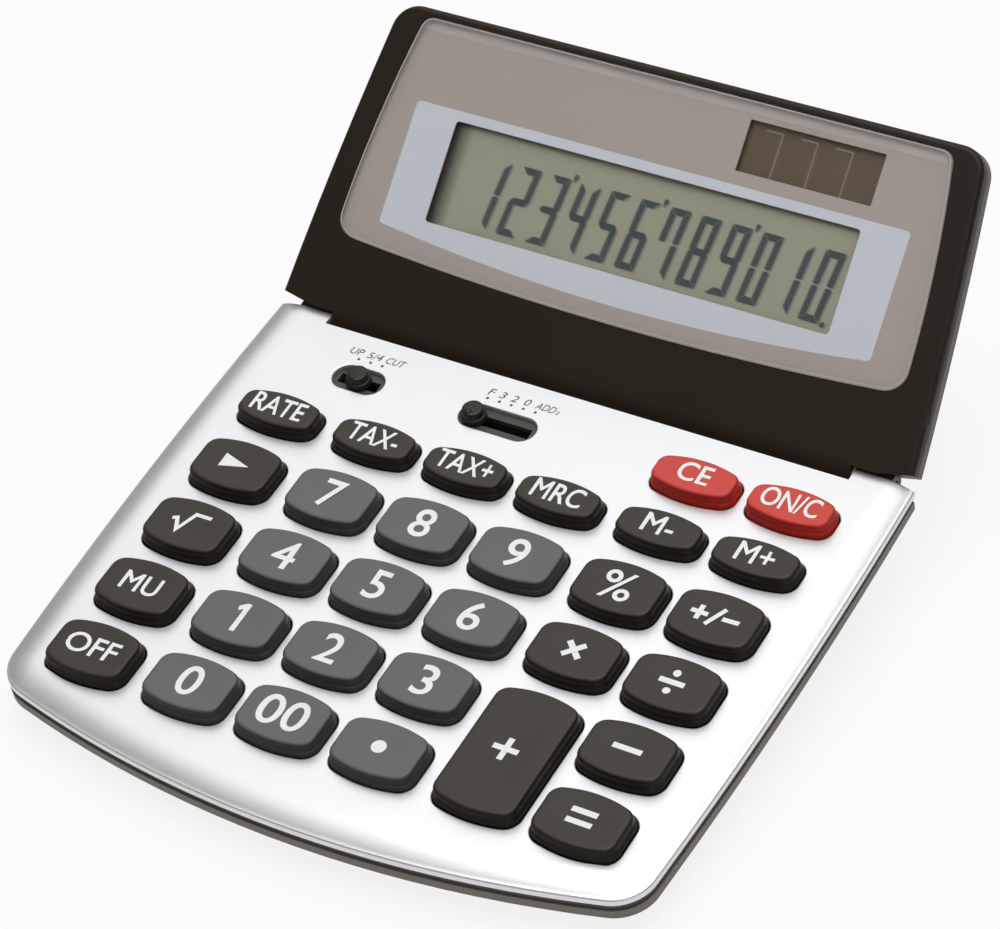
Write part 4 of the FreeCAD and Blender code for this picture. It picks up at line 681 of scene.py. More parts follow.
class Library:
    """Makes each material once."""

    # A face lies on the panel, or stands upright on it, by the cosine between its normal and the panel's.
    UPRIGHT, LYING = 0.55, 0.95
    # Height of a moulded grain of depth 1, in millimetres
    GRAIN_RELIEF = 0.05

    def __init__(self) -> None:
        """Makes the groups that the materials share."""
        self.grain = grain_group()
        self.handling = smudge_group()
        self.brushed = brushed_group()

    def start(self, name: str) -> tuple:
        """Makes a new material.

        Args:
            name: its name.

        Returns:
            The material, its builder and its Principled BSDF.
        """
        material = bpy.data.materials.new(name)
        material.use_nodes = True
        tree = Tree(material.node_tree)
        shader = material.node_tree.nodes["Principled BSDF"]
        return material, tree, shader

    def group(self, tree: Tree, group: bpy.types.NodeTree, **values: object) -> bpy.types.Node:
        """Adds a shared group to a material.

        Args:
            tree: the material's builder.
            group: the shared group.
            values: plain values or outputs for the group's inputs.

        Returns:
            The group's node.
        """
        made = tree.tree.nodes.new("ShaderNodeGroup")
        made.node_tree = group
        for name, value in values.items():
            tree.feed(made.inputs[name], value)
        return made

    def tinted(self, tree: Tree, color: object, tone: object) -> bpy.types.NodeSocket:
        """Darkens or lightens a colour.

        Args:
            tree: the material's builder.
            color: the colour, or its output.
            tone: a factor near 1, or its output.

        Returns:
            The new colour's output.
        """
        scaled = tree.node("VectorMath", operation="SCALE")
        tree.feed(scaled.inputs[0], color)
        tree.feed(scaled.inputs["Scale"], tone)
        return scaled.outputs[0]

    def facing_up(self, tree: Tree) -> bpy.types.NodeSocket:
        """Tells flat faces from upright ones.

        Args:
            tree: the material's builder.

        Returns:
            An output that is 1 where a face lies along the panel, and 0 where it stands upright on it.
        """
        upward = tree.node("VectorMath", operation="DOT_PRODUCT")
        tree.feed(upward.inputs[0], tree.node("NewGeometry").outputs["Normal"])
        tree.feed(upward.inputs[1], tuple(PANEL.rotation()[:, 2]))
        return tree.ramp(upward.outputs["Value"], self.UPRIGHT, self.LYING)

    def relief(self, tree: Tree, shader: bpy.types.Node, height: object, distance: float) -> None:
        """Feeds a height to the shader's normal.

        Args:
            tree: the material's builder.
            shader: its Principled BSDF.
            height: the height's output.
            distance: what a height of 1 stands for, in millimetres.
        """
        bump = tree.node("Bump", Height=height, Strength=1.0)
        bump.inputs["Distance"].default_value = distance * MM
        tree.feed(shader.inputs["Normal"], bump.outputs[0])

    def plain(self, finish: Finish) -> bpy.types.Material:
        """A moulded or cast surface: its own grain, traces of handling, and painted shade on upright sides if any.

        Args:
            finish: what it is made of.

        Returns:
            The material.
        """
        material, tree, shader = self.start(finish.slot.value)
        grain = self.group(
            tree, self.grain, Size=finish.grain_size, Depth=finish.grain_depth, Mottle=finish.mottle
        )
        handled = self.group(tree, self.handling, Amount=finish.smudge)
        color = finish.color
        # Painted shade: faces that stand upright on the panel take the darker colour that side leaves.
        if finish.side:
            shaded_side_color = tuple(part * share for part, share in zip(finish.color, finish.side))
            color = tree.mix(self.facing_up(tree), shaded_side_color, finish.color)
        tree.feed(shader.inputs["Base Color"], self.tinted(tree, color, grain.outputs["Tone"]))
        rough = tree.math("ADD", grain.outputs["Roughness"], finish.roughness)
        tree.feed(shader.inputs["Roughness"], tree.math("ADD", rough, handled.outputs["Roughness"]))
        shader.inputs["Specular IOR Level"].default_value = finish.specular
        if finish.grain_depth:
            self.relief(tree, shader, grain.outputs["Height"], self.GRAIN_RELIEF)
        return material

    def metal(self, finish: Brushed) -> bpy.types.Material:
        """Brushed foil, or turned or ground steel.

        Args:
            finish: what it is made of.

        Returns:
            The material.
        """
        material, tree, shader = self.start(finish.slot.value)
        lines = self.group(tree, self.brushed, Fineness=finish.fineness, Depth=finish.depth)
        handled = self.group(tree, self.handling, Amount=finish.smudge)
        tree.feed(shader.inputs["Base Color"], self.tinted(tree, finish.color, lines.outputs["Tone"]))
        rough = tree.math("ADD", lines.outputs["Roughness"], finish.roughness)
        tree.feed(shader.inputs["Roughness"], tree.math("ADD", rough, handled.outputs["Roughness"]))
        shader.inputs["Metallic"].default_value = finish.metallic
        self.relief(tree, shader, lines.outputs["Height"], finish.relief)
        return material

    def window(self, finish: Acrylic) -> bpy.types.Material:
        """Clear acrylic, seen through at once, with a thin gloss.

        Args:
            finish: its gloss, refraction and opacity.

        Returns:
            The material.
        """
        material, tree, shader = self.start(Slot.WINDOW.value)
        handled = self.group(tree, self.handling, Amount=finish.smudge)
        rough = tree.math("ADD", handled.outputs["Roughness"], finish.roughness)
        tree.feed(shader.inputs["Roughness"], rough)
        shader.inputs["Base Color"].default_value = (1.0, 1.0, 1.0, 1.0)
        shader.inputs["Transmission Weight"].default_value = 1.0
        shader.inputs["IOR"].default_value = finish.index
        shader.inputs["Alpha"].default_value = finish.alpha
        return material

    def board(self, finish: SolderMask) -> bpy.types.Material:
        """Green solder mask over copper tracks.

        Args:
            finish: its colours and its tracks.

        Returns:
            The material.
        """
        material, tree, shader = self.start(Slot.BOARD.value)
        place = tree.node("TexCoord").outputs["Object"]
        tracks = tree.node("TexVoronoi", Vector=place, Scale=finish.cells)
        tracks.distance = "CHEBYCHEV"
        mask = tree.math("GREATER_THAN", tracks.outputs["Distance"], finish.border)
        tree.feed(shader.inputs["Base Color"], tree.mix(mask, finish.color, finish.track))
        shader.inputs["Roughness"].default_value = finish.roughness
        self.relief(tree, shader, mask, finish.relief)
        return material

    def stripes(self, finish: Stripes) -> bpy.types.Material:
        """Stripes that change colour with the sign of a sine of X.

        Args:
            finish: the two colours, and how fine the stripes are.

        Returns:
            The material.
        """
        material, tree, shader = self.start(finish.slot.value)
        split = tree.node("SeparateXYZ", Vector=tree.node("TexCoord").outputs["Object"])
        turns = 2 * math.pi * finish.per_mm / MM
        wave = tree.math("SINE", tree.math("MULTIPLY", split.outputs["X"], turns))
        side = tree.math("GREATER_THAN", wave, 0.0)
        tree.feed(shader.inputs["Base Color"], tree.mix(side, finish.first, finish.second))
        shader.inputs["Roughness"].default_value = finish.roughness
        return material

    def lcd(self, finish: Reflector, sizes: "HeadSizes") -> bpy.types.Material:
        """Green-grey reflector behind glass, darker next to the left and the upper wall of its recess.

        The two shades are straight ramps of the distance from the field's left and upper edges.

        Args:
            finish: its colours and shades.
            sizes: the head's sizes, which place the field.

        Returns:
            The material.
        """
        material, tree, shader = self.start(Slot.LCD.value)
        grain = self.group(tree, self.grain, Size=0.2, Depth=0.1, Mottle=0.05)
        place = tree.node("TexCoord").outputs["Object"]
        up = HEAD.rotation()[:, 1]
        height = tree.node("VectorMath", operation="DOT_PRODUCT")
        tree.feed(height.inputs[0], place)
        tree.feed(height.inputs[1], tuple(up))
        top = (float(up @ HEAD.origin) + sizes.lcd_y + sizes.lcd_half_height) * MM
        x = tree.node("SeparateXYZ", Vector=place).outputs["X"]
        starts, stops = ((edge - sizes.lcd_half_width) * MM for edge in finish.left_shade)
        across = tree.ramp(x, starts, stops)
        starts, stops = (edge * MM for edge in finish.top_shade)
        down = tree.ramp(tree.math("SUBTRACT", top, height.outputs["Value"]), starts, stops)
        field = self.tinted(tree, finish.color, grain.outputs["Tone"])
        color = tree.mix(tree.math("MULTIPLY", across, down), finish.shaded, field)
        tree.feed(shader.inputs["Base Color"], color)
        rough = tree.math("ADD", grain.outputs["Roughness"], finish.roughness)
        tree.feed(shader.inputs["Roughness"], rough)
        return material

    def ink(self, ink: Ink) -> bpy.types.Material:
        """A printed colour.

        Args:
            ink: its name, colour and roughness.

        Returns:
            The material.
        """
        material, tree, shader = self.start(ink.name)
        grain = self.group(tree, self.grain, Size=0.15, Depth=0.0, Mottle=0.04)
        tree.feed(shader.inputs["Base Color"], self.tinted(tree, ink.color, grain.outputs["Tone"]))
        tree.feed(shader.inputs["Roughness"], tree.math("ADD", grain.outputs["Roughness"], ink.roughness))
        return material



def key_finish(slot: Slot, color: tuple, side: tuple) -> Finish:
    """The finish of a key cap: its slot, its colour, and what of it is left as painted shade on its sides."""
    return Finish(slot, color, 0.36, grain_depth=0.12, specular=0.25, side=side)


FINISHES = (
    Finish(Slot.DARK_CASE, (0.055, 0.050, 0.044), 0.5, grain_depth=0.3),
    Finish(Slot.GREY_CASE, (0.20, 0.172, 0.150), 0.55, grain_depth=0.35),
    # Each key's last colour is what is left of it on its upright sides, a painted shade.
    key_finish(Slot.NUMBER_KEY, (0.131, 0.142, 0.135), (0.30, 0.32, 0.33)),
    key_finish(Slot.FUNCTION_KEY, (0.044, 0.038, 0.030), (0.30, 0.27, 0.22)),
    key_finish(Slot.CLEAR_KEY, (0.66, 0.068, 0.052), (0.70, 0.25, 0.20)),
    Finish(Slot.KNOB, (0.020, 0.018, 0.014), 0.35, grain_depth=0.15, specular=0.3),
    Finish(Slot.HEAD, (0.0195, 0.0125, 0.0065), 0.46, grain_depth=0.25, specular=0.25),
    Finish(Slot.HEAD_COVER, (0.10, 0.088, 0.078), 0.5, grain_depth=0.35),
    Finish(Slot.PRINT, (0.40, 0.352, 0.320), 0.5, grain_size=0.15, grain_depth=0.05),
    Finish(Slot.DOMES, (0.50, 0.51, 0.53), 0.6, grain_depth=0.1),
    Finish(Slot.CHIP, (0.012, 0.012, 0.013), 0.4, grain_depth=0.1),
    Finish(Slot.SWITCH, (0.02, 0.02, 0.02), 0.45, grain_depth=0.2),
    Finish(Slot.FOOT, (0.022, 0.022, 0.022), 0.75, grain_depth=0.5),
    Finish(Slot.WASHER, (0.72, 0.70, 0.64), 0.4, grain_depth=0.1),
    Finish(Slot.INNER, (0.03, 0.03, 0.03), 0.5, grain_depth=0.2),
)

METALS = (
    Brushed(Slot.SILVER, (0.78, 0.784, 0.80), 0.36, 0.7, fineness=3.0, depth=0.25, relief=0.02, smudge=0.03),
    Brushed(Slot.CELL, (0.75, 0.75, 0.74), 0.2),
    Brushed(Slot.CONTACT, (0.78, 0.76, 0.70), 0.25),
    Brushed(Slot.SCREW, (0.60, 0.60, 0.60), 0.3),
    Brushed(Slot.PIN, (0.62, 0.62, 0.62), 0.22),
)
STRIPED = (
    Stripes(Slot.RIBBON, (0.50, 0.22, 0.04), (0.62, 0.32, 0.08), 1.0, 0.35),
    Stripes(Slot.STRIP, (0.30, 0.28, 0.31), (0.05, 0.05, 0.05), 5.0, 0.6),
)
SOLAR_FIELD = Ink(Slot.SOLAR.value, (0.118, 0.081, 0.050), 0.3)
SOLAR_LINE = Ink("solar_line", (0.32, 0.26, 0.20), 0.4)
LEGEND_INK = Ink("legend_white", (0.90, 0.91, 0.925), 0.4)
SWITCH_INK = Ink("print_grey", (0.10, 0.10, 0.10), 0.5)
# Painted light on the window: a highlight along its bevel and a reflection along its top.
BEVEL_HIGHLIGHT_INK = Ink("bevel_highlight", (0.50, 0.46, 0.43), 0.3)
TOP_REFLECTION_INK = Ink("top_reflection", (0.47, 0.42, 0.395))
SURROUND_INK = Ink("surround_pale", (0.60, 0.63, 0.70))
DIGIT_INK = Ink("digit_ink", (0.046, 0.060, 0.068), 0.4)
DIGIT_SHADES = (
    Ink("digit_shade_wide", (0.262, 0.272, 0.215), 0.55),
    Ink("digit_shade_near", (0.190, 0.202, 0.175), 0.55),
)

# Nodes of these slots have flat faces only, so their copies aren't shaded smoothly.
FLAT = (Slot.WINDOW, Slot.PRINT, Slot.LCD, Slot.SOLAR)


# Lettering

class Sign(Enum):
    """Marks on the keys that are drawn from bars and discs, not written."""

    ONE = "one"
    POINT = "point"
    TRIANGLE = "triangle"
    ROOT = "root"
    TIMES = "times"
    PLUS = "plus"
    PLUS_MINUS = "plus_minus"
    DIVIDE = "divide"
    MINUS = "minus"
    EQUALS = "equals"


@dataclass(frozen=True)
class Legend:
    """What is printed on a key: a word or a drawn sign, and its width and height in millimetres."""

    mark: str | Sign
    width: float
    height: float


def outlines(mesh: bpy.types.Mesh) -> list:
    """The border loops of a flat mesh, each with the filled side on its left.

    Args:
        mesh: flat faces that look up or down.

    Returns:
        One array of points to a loop.
    """
    after = {}
    for polygon in mesh.polygons:
        corners = list(polygon.vertices)
        if polygon.normal.z < 0:
            corners.reverse()
        after.update(zip(zip(corners, corners[1:] + corners[:1]), corners[1:] + corners[:1]))
    border = {edge[0]: edge[1] for edge in after if edge[::-1] not in after}
    loops = []
    while border:
        start = corner = next(iter(border))
        loop = []
        while corner in border:
            loop.append(corner)
            corner = border.pop(corner)
        if corner == start and len(loop) > 2:
            loops.append(np.array([mesh.vertices[index].co[:2] for index in loop]))
    return loops


def thickened(loop: np.ndarray, by: float) -> np.ndarray:
    """Moves a loop away from its filled side, with mitres of at most 1.5 times the distance.

    A corner moves along the mean of its two edges' normals, by the distance over the cosine between them.

    Args:
        loop: corners of the loop, with the filled side on its left.
        by: the distance.

    Returns:
        The moved corners.
    """
    steps = np.roll(loop, -1, axis=0) - loop
    steps /= np.maximum(np.linalg.norm(steps, axis=1), 1e-9)[:, None]
    normals = np.stack([steps[:, 1], -steps[:, 0]], axis=1)
    joints = normals + np.roll(normals, 1, axis=0)
    joints /= np.maximum(np.linalg.norm(joints, axis=1), 1e-9)[:, None]
    least_cosine = 0.667
    mitre = 1 / np.maximum((joints * normals).sum(axis=1), least_cosine)
    return loop + joints * mitre[:, None] * by


def word(text: str, width: float, height: float, bold: float = 0.0, slant: float = 0.0) -> tuple:
    """A word as a flat mesh of a given size, centred on the origin.

    Args:
        text: the word.
        width: its width in millimetres.
        height: its height in millimetres.
        bold: how far its outline is moved outwards in millimetres.
        slant: sideways lean for each unit of height.

    Returns:
        Its points in millimetres, and its triangles, looking up.
    """
    curve = bpy.data.curves.new("word", "FONT")
    curve.body = text
    curve.resolution_u = 5
    holder = bpy.data.objects.new("word", curve)
    mesh = bpy.data.meshes.new_from_object(holder)
    loops = outlines(mesh)
    bpy.data.meshes.remove(mesh)
    bpy.data.objects.remove(holder)
    bpy.data.curves.remove(curve)
    every = np.concatenate(loops)
    low, high = every.min(axis=0), every.max(axis=0)
    scale = (np.array([width, height]) - 2 * bold) / (high - low)
    flat, faces = filled([thickened((loop - (low + high) / 2) * scale, bold) for loop in loops])
    flat[:, 0] += flat[:, 1] * slant
    return flat, faces


# The keyboard half

@dataclass(frozen=True)
class PanelSizes:
    """The panel's outline and levels in millimetres, as in the CAD model."""

    front_corner_x: float = 72.4
    front_corner_y: float = -112.6
    rear_half_width: float = 74.0
    rear_blank: float = 9.0
    side_radius: float = 1166.0
    front_radius: float = 261.0
    corner_radius: float = 9.0
    tab_y: float = -0.75
    notch_half_width: float = 61.4
    notch_y: float = -3.65
    lip: float = -2.9
    crown_width: float = 7.0
    crown_drop: float = 1.26
    crown_start: float = 0.45
    crown_power: float = 2.4
    sheet: float = 0.9
    steps: int = 40
    corner_steps: int = 14


class PanelOutline:
    """The panel's open outline: up the right side from the hinge line, round the front, to the left."""

    def __init__(self, sizes: PanelSizes) -> None:
        """Finds the centres of the front's, the right side's and the right corner's arcs.

        Args:
            sizes: the panel's sizes.
        """
        self.sizes = sizes
        half = sizes.front_corner_x
        self.front = np.array([0.0, sizes.front_corner_y + math.sqrt(sizes.front_radius**2 - half**2)])
        low = np.array([half, sizes.front_corner_y])
        high = np.array([sizes.rear_half_width, sizes.rear_blank])
        self.side = bow_centre(low, high, sizes.side_radius)
        radius = sizes.corner_radius
        self.corner = self.meet(sizes.side_radius - radius, sizes.front_radius - radius)

    def meet(self, side_radius: float, front_radius: float) -> np.ndarray:
        """The point at one distance from the side's centre and at another from the front's centre.

        Args:
            side_radius: its distance from the side's centre.
            front_radius: its distance from the front's centre.

        Returns:
            The point, at the right front.
        """
        gap = self.front - self.side
        length = np.linalg.norm(gap)
        along = (side_radius**2 - front_radius**2 + length**2) / (2 * length)
        off = math.sqrt(side_radius**2 - along**2)
        unit = gap / length
        middle = self.side + unit * along
        across = np.array([-unit[1], unit[0]]) * off
        return min((middle - across, middle + across), key=lambda point: point[1])

    def ring(self, inset: float, rear: float) -> np.ndarray:
        """The outline set in by a distance and stopped at a level line at the rear.

        Args:
            inset: the distance.
            rear: where it stops at the rear.

        Returns:
            Points from the left rear, round the front, to the right rear (anticlockwise).
        """
        sizes = self.sizes
        side_radius = sizes.side_radius - inset
        front_radius = sizes.front_radius - inset
        toward_side = self.corner - self.side
        toward_front = self.corner - self.front
        side_angle = math.atan2(toward_side[1], toward_side[0])
        front_angle = math.atan2(toward_front[1], toward_front[0])
        rear_angle = math.asin((rear - self.side[1]) / side_radius)
        front = arc(self.front, front_radius, -math.pi / 2, front_angle, sizes.steps)
        corner = arc(self.corner, sizes.corner_radius - inset, front_angle, side_angle, sizes.corner_steps)
        side = arc(self.side, side_radius, side_angle, rear_angle, sizes.steps)
        right = np.vstack([front, corner[1:], side[1:]])
        left = right[::-1] * [-1, 1]
        return np.vstack([left[:-1], right])


@dataclass(frozen=True)
class KeySizes:
    """A key in millimetres, as in the CAD model."""

    half_width: float = 9.0
    bow: float = 1.7
    top: float = 3.1
    edge: float = 0.8
    skirt: float = 0.35
    gap: float = 0.3
    foot: float = -1.9
    dish: float = 0.3
    dish_power: float = 1.4


KEY = KeySizes()
# The caps' three depths, and the radius of each one's corners, in millimetres
LARGE, SMALL, TALL = 13.2, 9.1, 30.6
CORNERS = {LARGE: 3.0, SMALL: 2.5, TALL: 3.0}
SHARPEST_CORNER = 0.05


def key_outline(depth: float, grow: float, steps: int = 12) -> np.ndarray:
    """A barrel-shaped outline about the origin: straight sides, bowed front and back, round corners.

    A corner's centre lies its own radius inside the side, and on the circle parallel to the bowed
    edge at that distance.

    Args:
        depth: depth of the cap.
        grow: how far the outline stands outside the cap.
        steps: points to each arc.

    Returns:
        Closed anticlockwise points.
    """
    wide = KEY.half_width + grow
    deep = depth / 2 + grow
    corner = max(CORNERS[depth] + grow, SHARPEST_CORNER)
    bow = (wide**2 + KEY.bow**2) / (2 * KEY.bow)
    centre = deep - bow
    corner_y = centre + math.sqrt((bow - corner) ** 2 - (wide - corner) ** 2)
    lean = math.atan2(corner_y - centre, wide - corner)
    right = arc((wide - corner, corner_y), corner, 0.0, lean, steps)
    top = arc((0.0, centre), bow, lean, math.pi - lean, steps * 2)
    left = arc((corner - wide, corner_y), corner, math.pi - lean, math.pi, steps)
    upper = np.vstack([right, top[1:], left[1:]])
    return np.vstack([upper, -upper])


@dataclass(frozen=True)
class Key:
    """One key: its node, place on the panel, depth, slot and legend."""

    node: str
    x: float
    y: float
    depth: float
    slot: Slot
    legend: Legend

    @property
    def body(self) -> str:
        """The CAD body that the key rides on."""
        return self.node + "_cap"


COLUMNS = (-55.3, -32.2, -10.6, 11.0, 33.9, 55.3)
CLEAR_ROW, MEMORY_ROW = -16.35, -31.4
ROWS = (-48.35, -66.15, -83.95, -101.75)
TALL_ROW = (ROWS[2] + ROWS[3]) / 2
# Each key's node, column, row and depth, and its mark with its width and height
PLAN = {
    Slot.NUMBER_KEY: (
        ("key_7", 1, ROWS[0], LARGE, "7", 4.75, 7.35),
        ("key_8", 2, ROWS[0], LARGE, "8", 4.6, 7.5),
        ("key_9", 3, ROWS[0], LARGE, "9", 4.7, 7.5),
        ("key_4", 1, ROWS[1], LARGE, "4", 5.2, 7.3),
        ("key_5", 2, ROWS[1], LARGE, "5", 4.3, 7.45),
        ("key_6", 3, ROWS[1], LARGE, "6", 4.7, 7.45),
        ("key_1", 1, ROWS[2], LARGE, Sign.ONE, 2.6, 7.35),
        ("key_2", 2, ROWS[2], LARGE, "2", 4.6, 7.45),
        ("key_3", 3, ROWS[2], LARGE, "3", 4.2, 7.5),
        ("key_0", 1, ROWS[3], LARGE, "0", 5.0, 7.45),
        ("key_00", 2, ROWS[3], LARGE, "00", 10.8, 7.45),
        ("key_point", 3, ROWS[3], LARGE, Sign.POINT, 3.1, 3.1),
    ),
    Slot.FUNCTION_KEY: (
        ("key_shift", 0, ROWS[0], LARGE, Sign.TRIANGLE, 6.3, 3.7),
        ("key_root", 0, ROWS[1], LARGE, Sign.ROOT, 8.0, 5.8),
        ("key_markup", 0, ROWS[2], LARGE, "MU", 8.7, 4.8),
        ("key_off", 0, ROWS[3], LARGE, "OFF", 11.85, 4.95),
        ("key_percent", 4, ROWS[0], LARGE, "%", 6.85, 7.35),
        ("key_multiply", 4, ROWS[1], LARGE, Sign.TIMES, 4.5, 4.6),
        ("key_add", 4, TALL_ROW, TALL, Sign.PLUS, 5.5, 5.5),
        ("key_sign", 5, ROWS[0], LARGE, Sign.PLUS_MINUS, 10.4, 5.3),
        ("key_divide", 5, ROWS[1], LARGE, Sign.DIVIDE, 5.4, 6.2),
        ("key_subtract", 5, ROWS[2], LARGE, Sign.MINUS, 6.2, 1.25),
        ("key_equals", 5, ROWS[3], LARGE, Sign.EQUALS, 5.5, 3.85),
        ("key_rate", 0, MEMORY_ROW, SMALL, "RATE", 12.25, 4.85),
        ("key_tax_minus", 1, MEMORY_ROW, SMALL, "TAX-", 11.7, 4.8),
        ("key_tax_plus", 2, MEMORY_ROW, SMALL, "TAX+", 12.9, 4.8),
        ("key_memory_recall", 3, MEMORY_ROW, SMALL, "MRC", 11.3, 5.0),
        ("key_memory_minus", 4, MEMORY_ROW, SMALL, "M-", 6.8, 4.8),
        ("key_memory_plus", 5, MEMORY_ROW, SMALL, "M+", 8.1, 4.85),
    ),
    Slot.CLEAR_KEY: (
        ("key_clear_entry", 4, CLEAR_ROW, SMALL, "CE", 7.2, 4.95),
        ("key_on_clear", 5, CLEAR_ROW, SMALL, "ON/C", 12.7, 4.95),
    ),
}


def key_plan() -> list:
    """Every key with its place and legend.

    Returns:
        A list of Key.
    """
    return [
        Key(node, COLUMNS[column], row, depth, slot, Legend(*legend))
        for slot, keys in PLAN.items()
        for node, column, row, depth, *legend in keys
    ]


@dataclass(frozen=True)
class Keypad:
    """All keys and their legends.

    FOOT is the cap's section up to its upright wall, as (distance outside the cap, level). DISH gives the
    rings of the dished top as shares of its rim. A legend stands a little left of the cap's middle, and
    above it, and its outline is moved outwards by its weight.
    """

    plan: Sequence[Key]
    finishes: dict
    ink: bpy.types.Material

    FOOT = ((KEY.skirt, KEY.foot), (KEY.skirt, 0.75), (0.28, 0.94), (0.14, 1.06), (0.03, 1.25))
    EDGE_RINGS = 9
    DISH = (0.94, 0.86, 0.76, 0.64, 0.5, 0.35, 0.2, 0.08)
    LEGEND_X = -0.2
    LEGEND_Y, SMALL_LEGEND_Y = 0.35, 0.6
    DIGIT_WEIGHT, WORD_WEIGHT = 0.12, 0.08

    def build(self) -> None:
        """Makes a cap and a legend for each key."""
        for key in self.plan:
            self.cap(key)
            self.legend(key)

    def top_level(self, key: Key, points: np.ndarray) -> np.ndarray:
        """Height of the dished top.

        With q = (x / a)^2 + (y / b)^2, at most 1, where a and b are half of the top's width and depth, the
        top lies below its rim by dish * (1 - q)^power.

        Args:
            key: the key.
            points: points about the key's centre.

        Returns:
            One height to a point.
        """
        half = np.array([KEY.half_width - KEY.edge, key.depth / 2 - KEY.edge])
        q = np.minimum(((points[:, :2] / half) ** 2).sum(axis=1), 1.0)
        return KEY.top - KEY.dish * (1 - q) ** KEY.dish_power

    def cap(self, key: Key) -> None:
        """A cap on its wider foot: rings of the same outline, with a quarter-round edge and a dished top.

        The edge's ring at turn t stands in by edge * (1 - cos t) and rises by edge * sin t.

        Args:
            key: the key.
        """
        rings = [at_height(key_outline(key.depth, grow), z) for grow, z in self.FOOT]
        base = KEY.top - KEY.edge
        for turn in np.linspace(0.0, math.pi / 2, self.EDGE_RINGS):
            outline = key_outline(key.depth, -KEY.edge * (1 - math.cos(turn)))
            rings.append(at_height(outline, base + KEY.edge * math.sin(turn)))
        rim = key_outline(key.depth, -KEY.edge)
        for share in self.DISH:
            ring = at_height(rim * share, 0.0)
            ring[:, 2] = self.top_level(key, ring)
            rings.append(ring)
        skin = Skin().grid(rings).fan(rings[-1]).fan(rings[0], flip=True)
        for points in skin.points:
            points[:, :2] += [key.x, key.y]
        material = self.finishes[key.slot]
        skin.build(key.node + "_shape", PANEL, material, key.body, key.slot, (key.node,), smooth=50.0)

    def legend(self, key: Key) -> None:
        """The white legend, lying on the dished top.

        Args:
            key: the key.
        """
        skin = Skin()
        label = key.legend
        if isinstance(label.mark, Sign):
            draw_sign(skin, label)
        else:
            weight = self.DIGIT_WEIGHT if label.mark.isdigit() else self.WORD_WEIGHT
            flat, faces = word(label.mark, label.width, label.height, weight)
            skin.add(at_height(flat, 0.0), faces)
        rise = self.LEGEND_Y if key.depth > SMALL else self.SMALL_LEGEND_Y
        for points in skin.points:
            points[:, :2] += [self.LEGEND_X, rise]
            points[:, 2] = self.top_level(key, points) + INK_LIFT
            points[:, :2] += [key.x, key.y]
        skin.build(key.node + "_legend", PANEL, self.ink, key.body, key.slot)


@dataclass(frozen=True)
class Strokes:
    """The drawn signs' strokes in millimetres, and the slash's lean in degrees.

    part, slash_x and slash_long are shares of the plus and minus sign's size: the width of its plus and of
    its minus, and its slash's place and length. BENT and ONE are the root's line and the figure one's
    outline, as shares of their width and height.
    """

    wide: float = 1.25
    small: float = 1.05
    slash: float = 0.95
    root: float = 0.85
    slash_lean: float = 63.0
    slash_x: float = 0.01
    slash_long: float = 1.02
    part: float = 0.35
    dot: float = 0.82

    BENT = ((-0.5, 0.0), (-0.38, 0.08), (-0.2, -0.42), (0.04, 0.43), (0.5, 0.43))
    ONE = ((0.0, -0.5), (0.46, -0.5), (0.46, 0.5), (0.06, 0.5), (-0.5, 0.35), (-0.39, 0.21), (0.0, 0.29))


def draw_sign(skin: Skin, label: Legend) -> None:
    """Draws a sign as flat bars and discs about the origin, looking up.

    Args:
        skin: where the shapes go.
        label: the sign with its width and height.
    """
    strokes = Strokes()
    stroke = strokes.wide
    wide, high = label.width, label.height
    match label.mark:
        case Sign.PLUS:
            plus(skin, 0.0, wide, stroke)
        case Sign.MINUS:
            skin.bar(0, 0, wide, high, 0)
        case Sign.TIMES:
            arm = wide * math.sqrt(2.0) - stroke
            shift = (arm + stroke) / 4 * math.sqrt(0.5)
            skin.bar(0, 0, arm, stroke, 0, 45)
            for side in (-1, 1):
                skin.bar(-side * shift, side * shift, (arm - stroke) / 2, stroke, 0, 135)
        case Sign.DIVIDE:
            skin.bar(0, 0, wide, stroke, 0)
            for side in (-1, 1):
                skin.disc(0, side * (high / 2 - strokes.dot), strokes.dot, 0)
        case Sign.EQUALS:
            for side in (-1, 1):
                skin.bar(0, side * (high - stroke) / 2, wide, stroke, 0)
        case Sign.POINT:
            skin.disc(0, 0, wide / 2, 0)
        case Sign.TRIANGLE:
            corners = np.array([[-wide / 2, -high / 2], [wide / 2, 0.0], [-wide / 2, high / 2]])
            skin.add(at_height(corners, 0.0), [(0, 1, 2)])
        case Sign.ROOT:
            stroke_line(skin, np.array(strokes.BENT) * [wide, high], strokes.root)
        case Sign.PLUS_MINUS:
            part = wide * strokes.part
            plus(skin, (part - wide) / 2, part, strokes.small)
            long = high * strokes.slash_long
            skin.bar(wide * strokes.slash_x, 0, long, strokes.slash, 0, strokes.slash_lean)
            skin.bar((wide - part) / 2, 0, part, strokes.small, 0)
        case Sign.ONE:
            skin.sheet(np.array(strokes.ONE) * [wide, high], 0.0)


def plus(skin: Skin, x: float, wide: float, stroke: float) -> None:
    """A plus sign from one long bar and two short ones.

    Args:
        skin: where the bars go.
        x: its middle.
        wide: its width and height.
        stroke: width of its bars.
    """
    skin.bar(x, 0, wide, stroke, 0)
    for side in (-1, 1):
        skin.bar(x, side * (wide + stroke) / 4, stroke, (wide - stroke) / 2, 0)


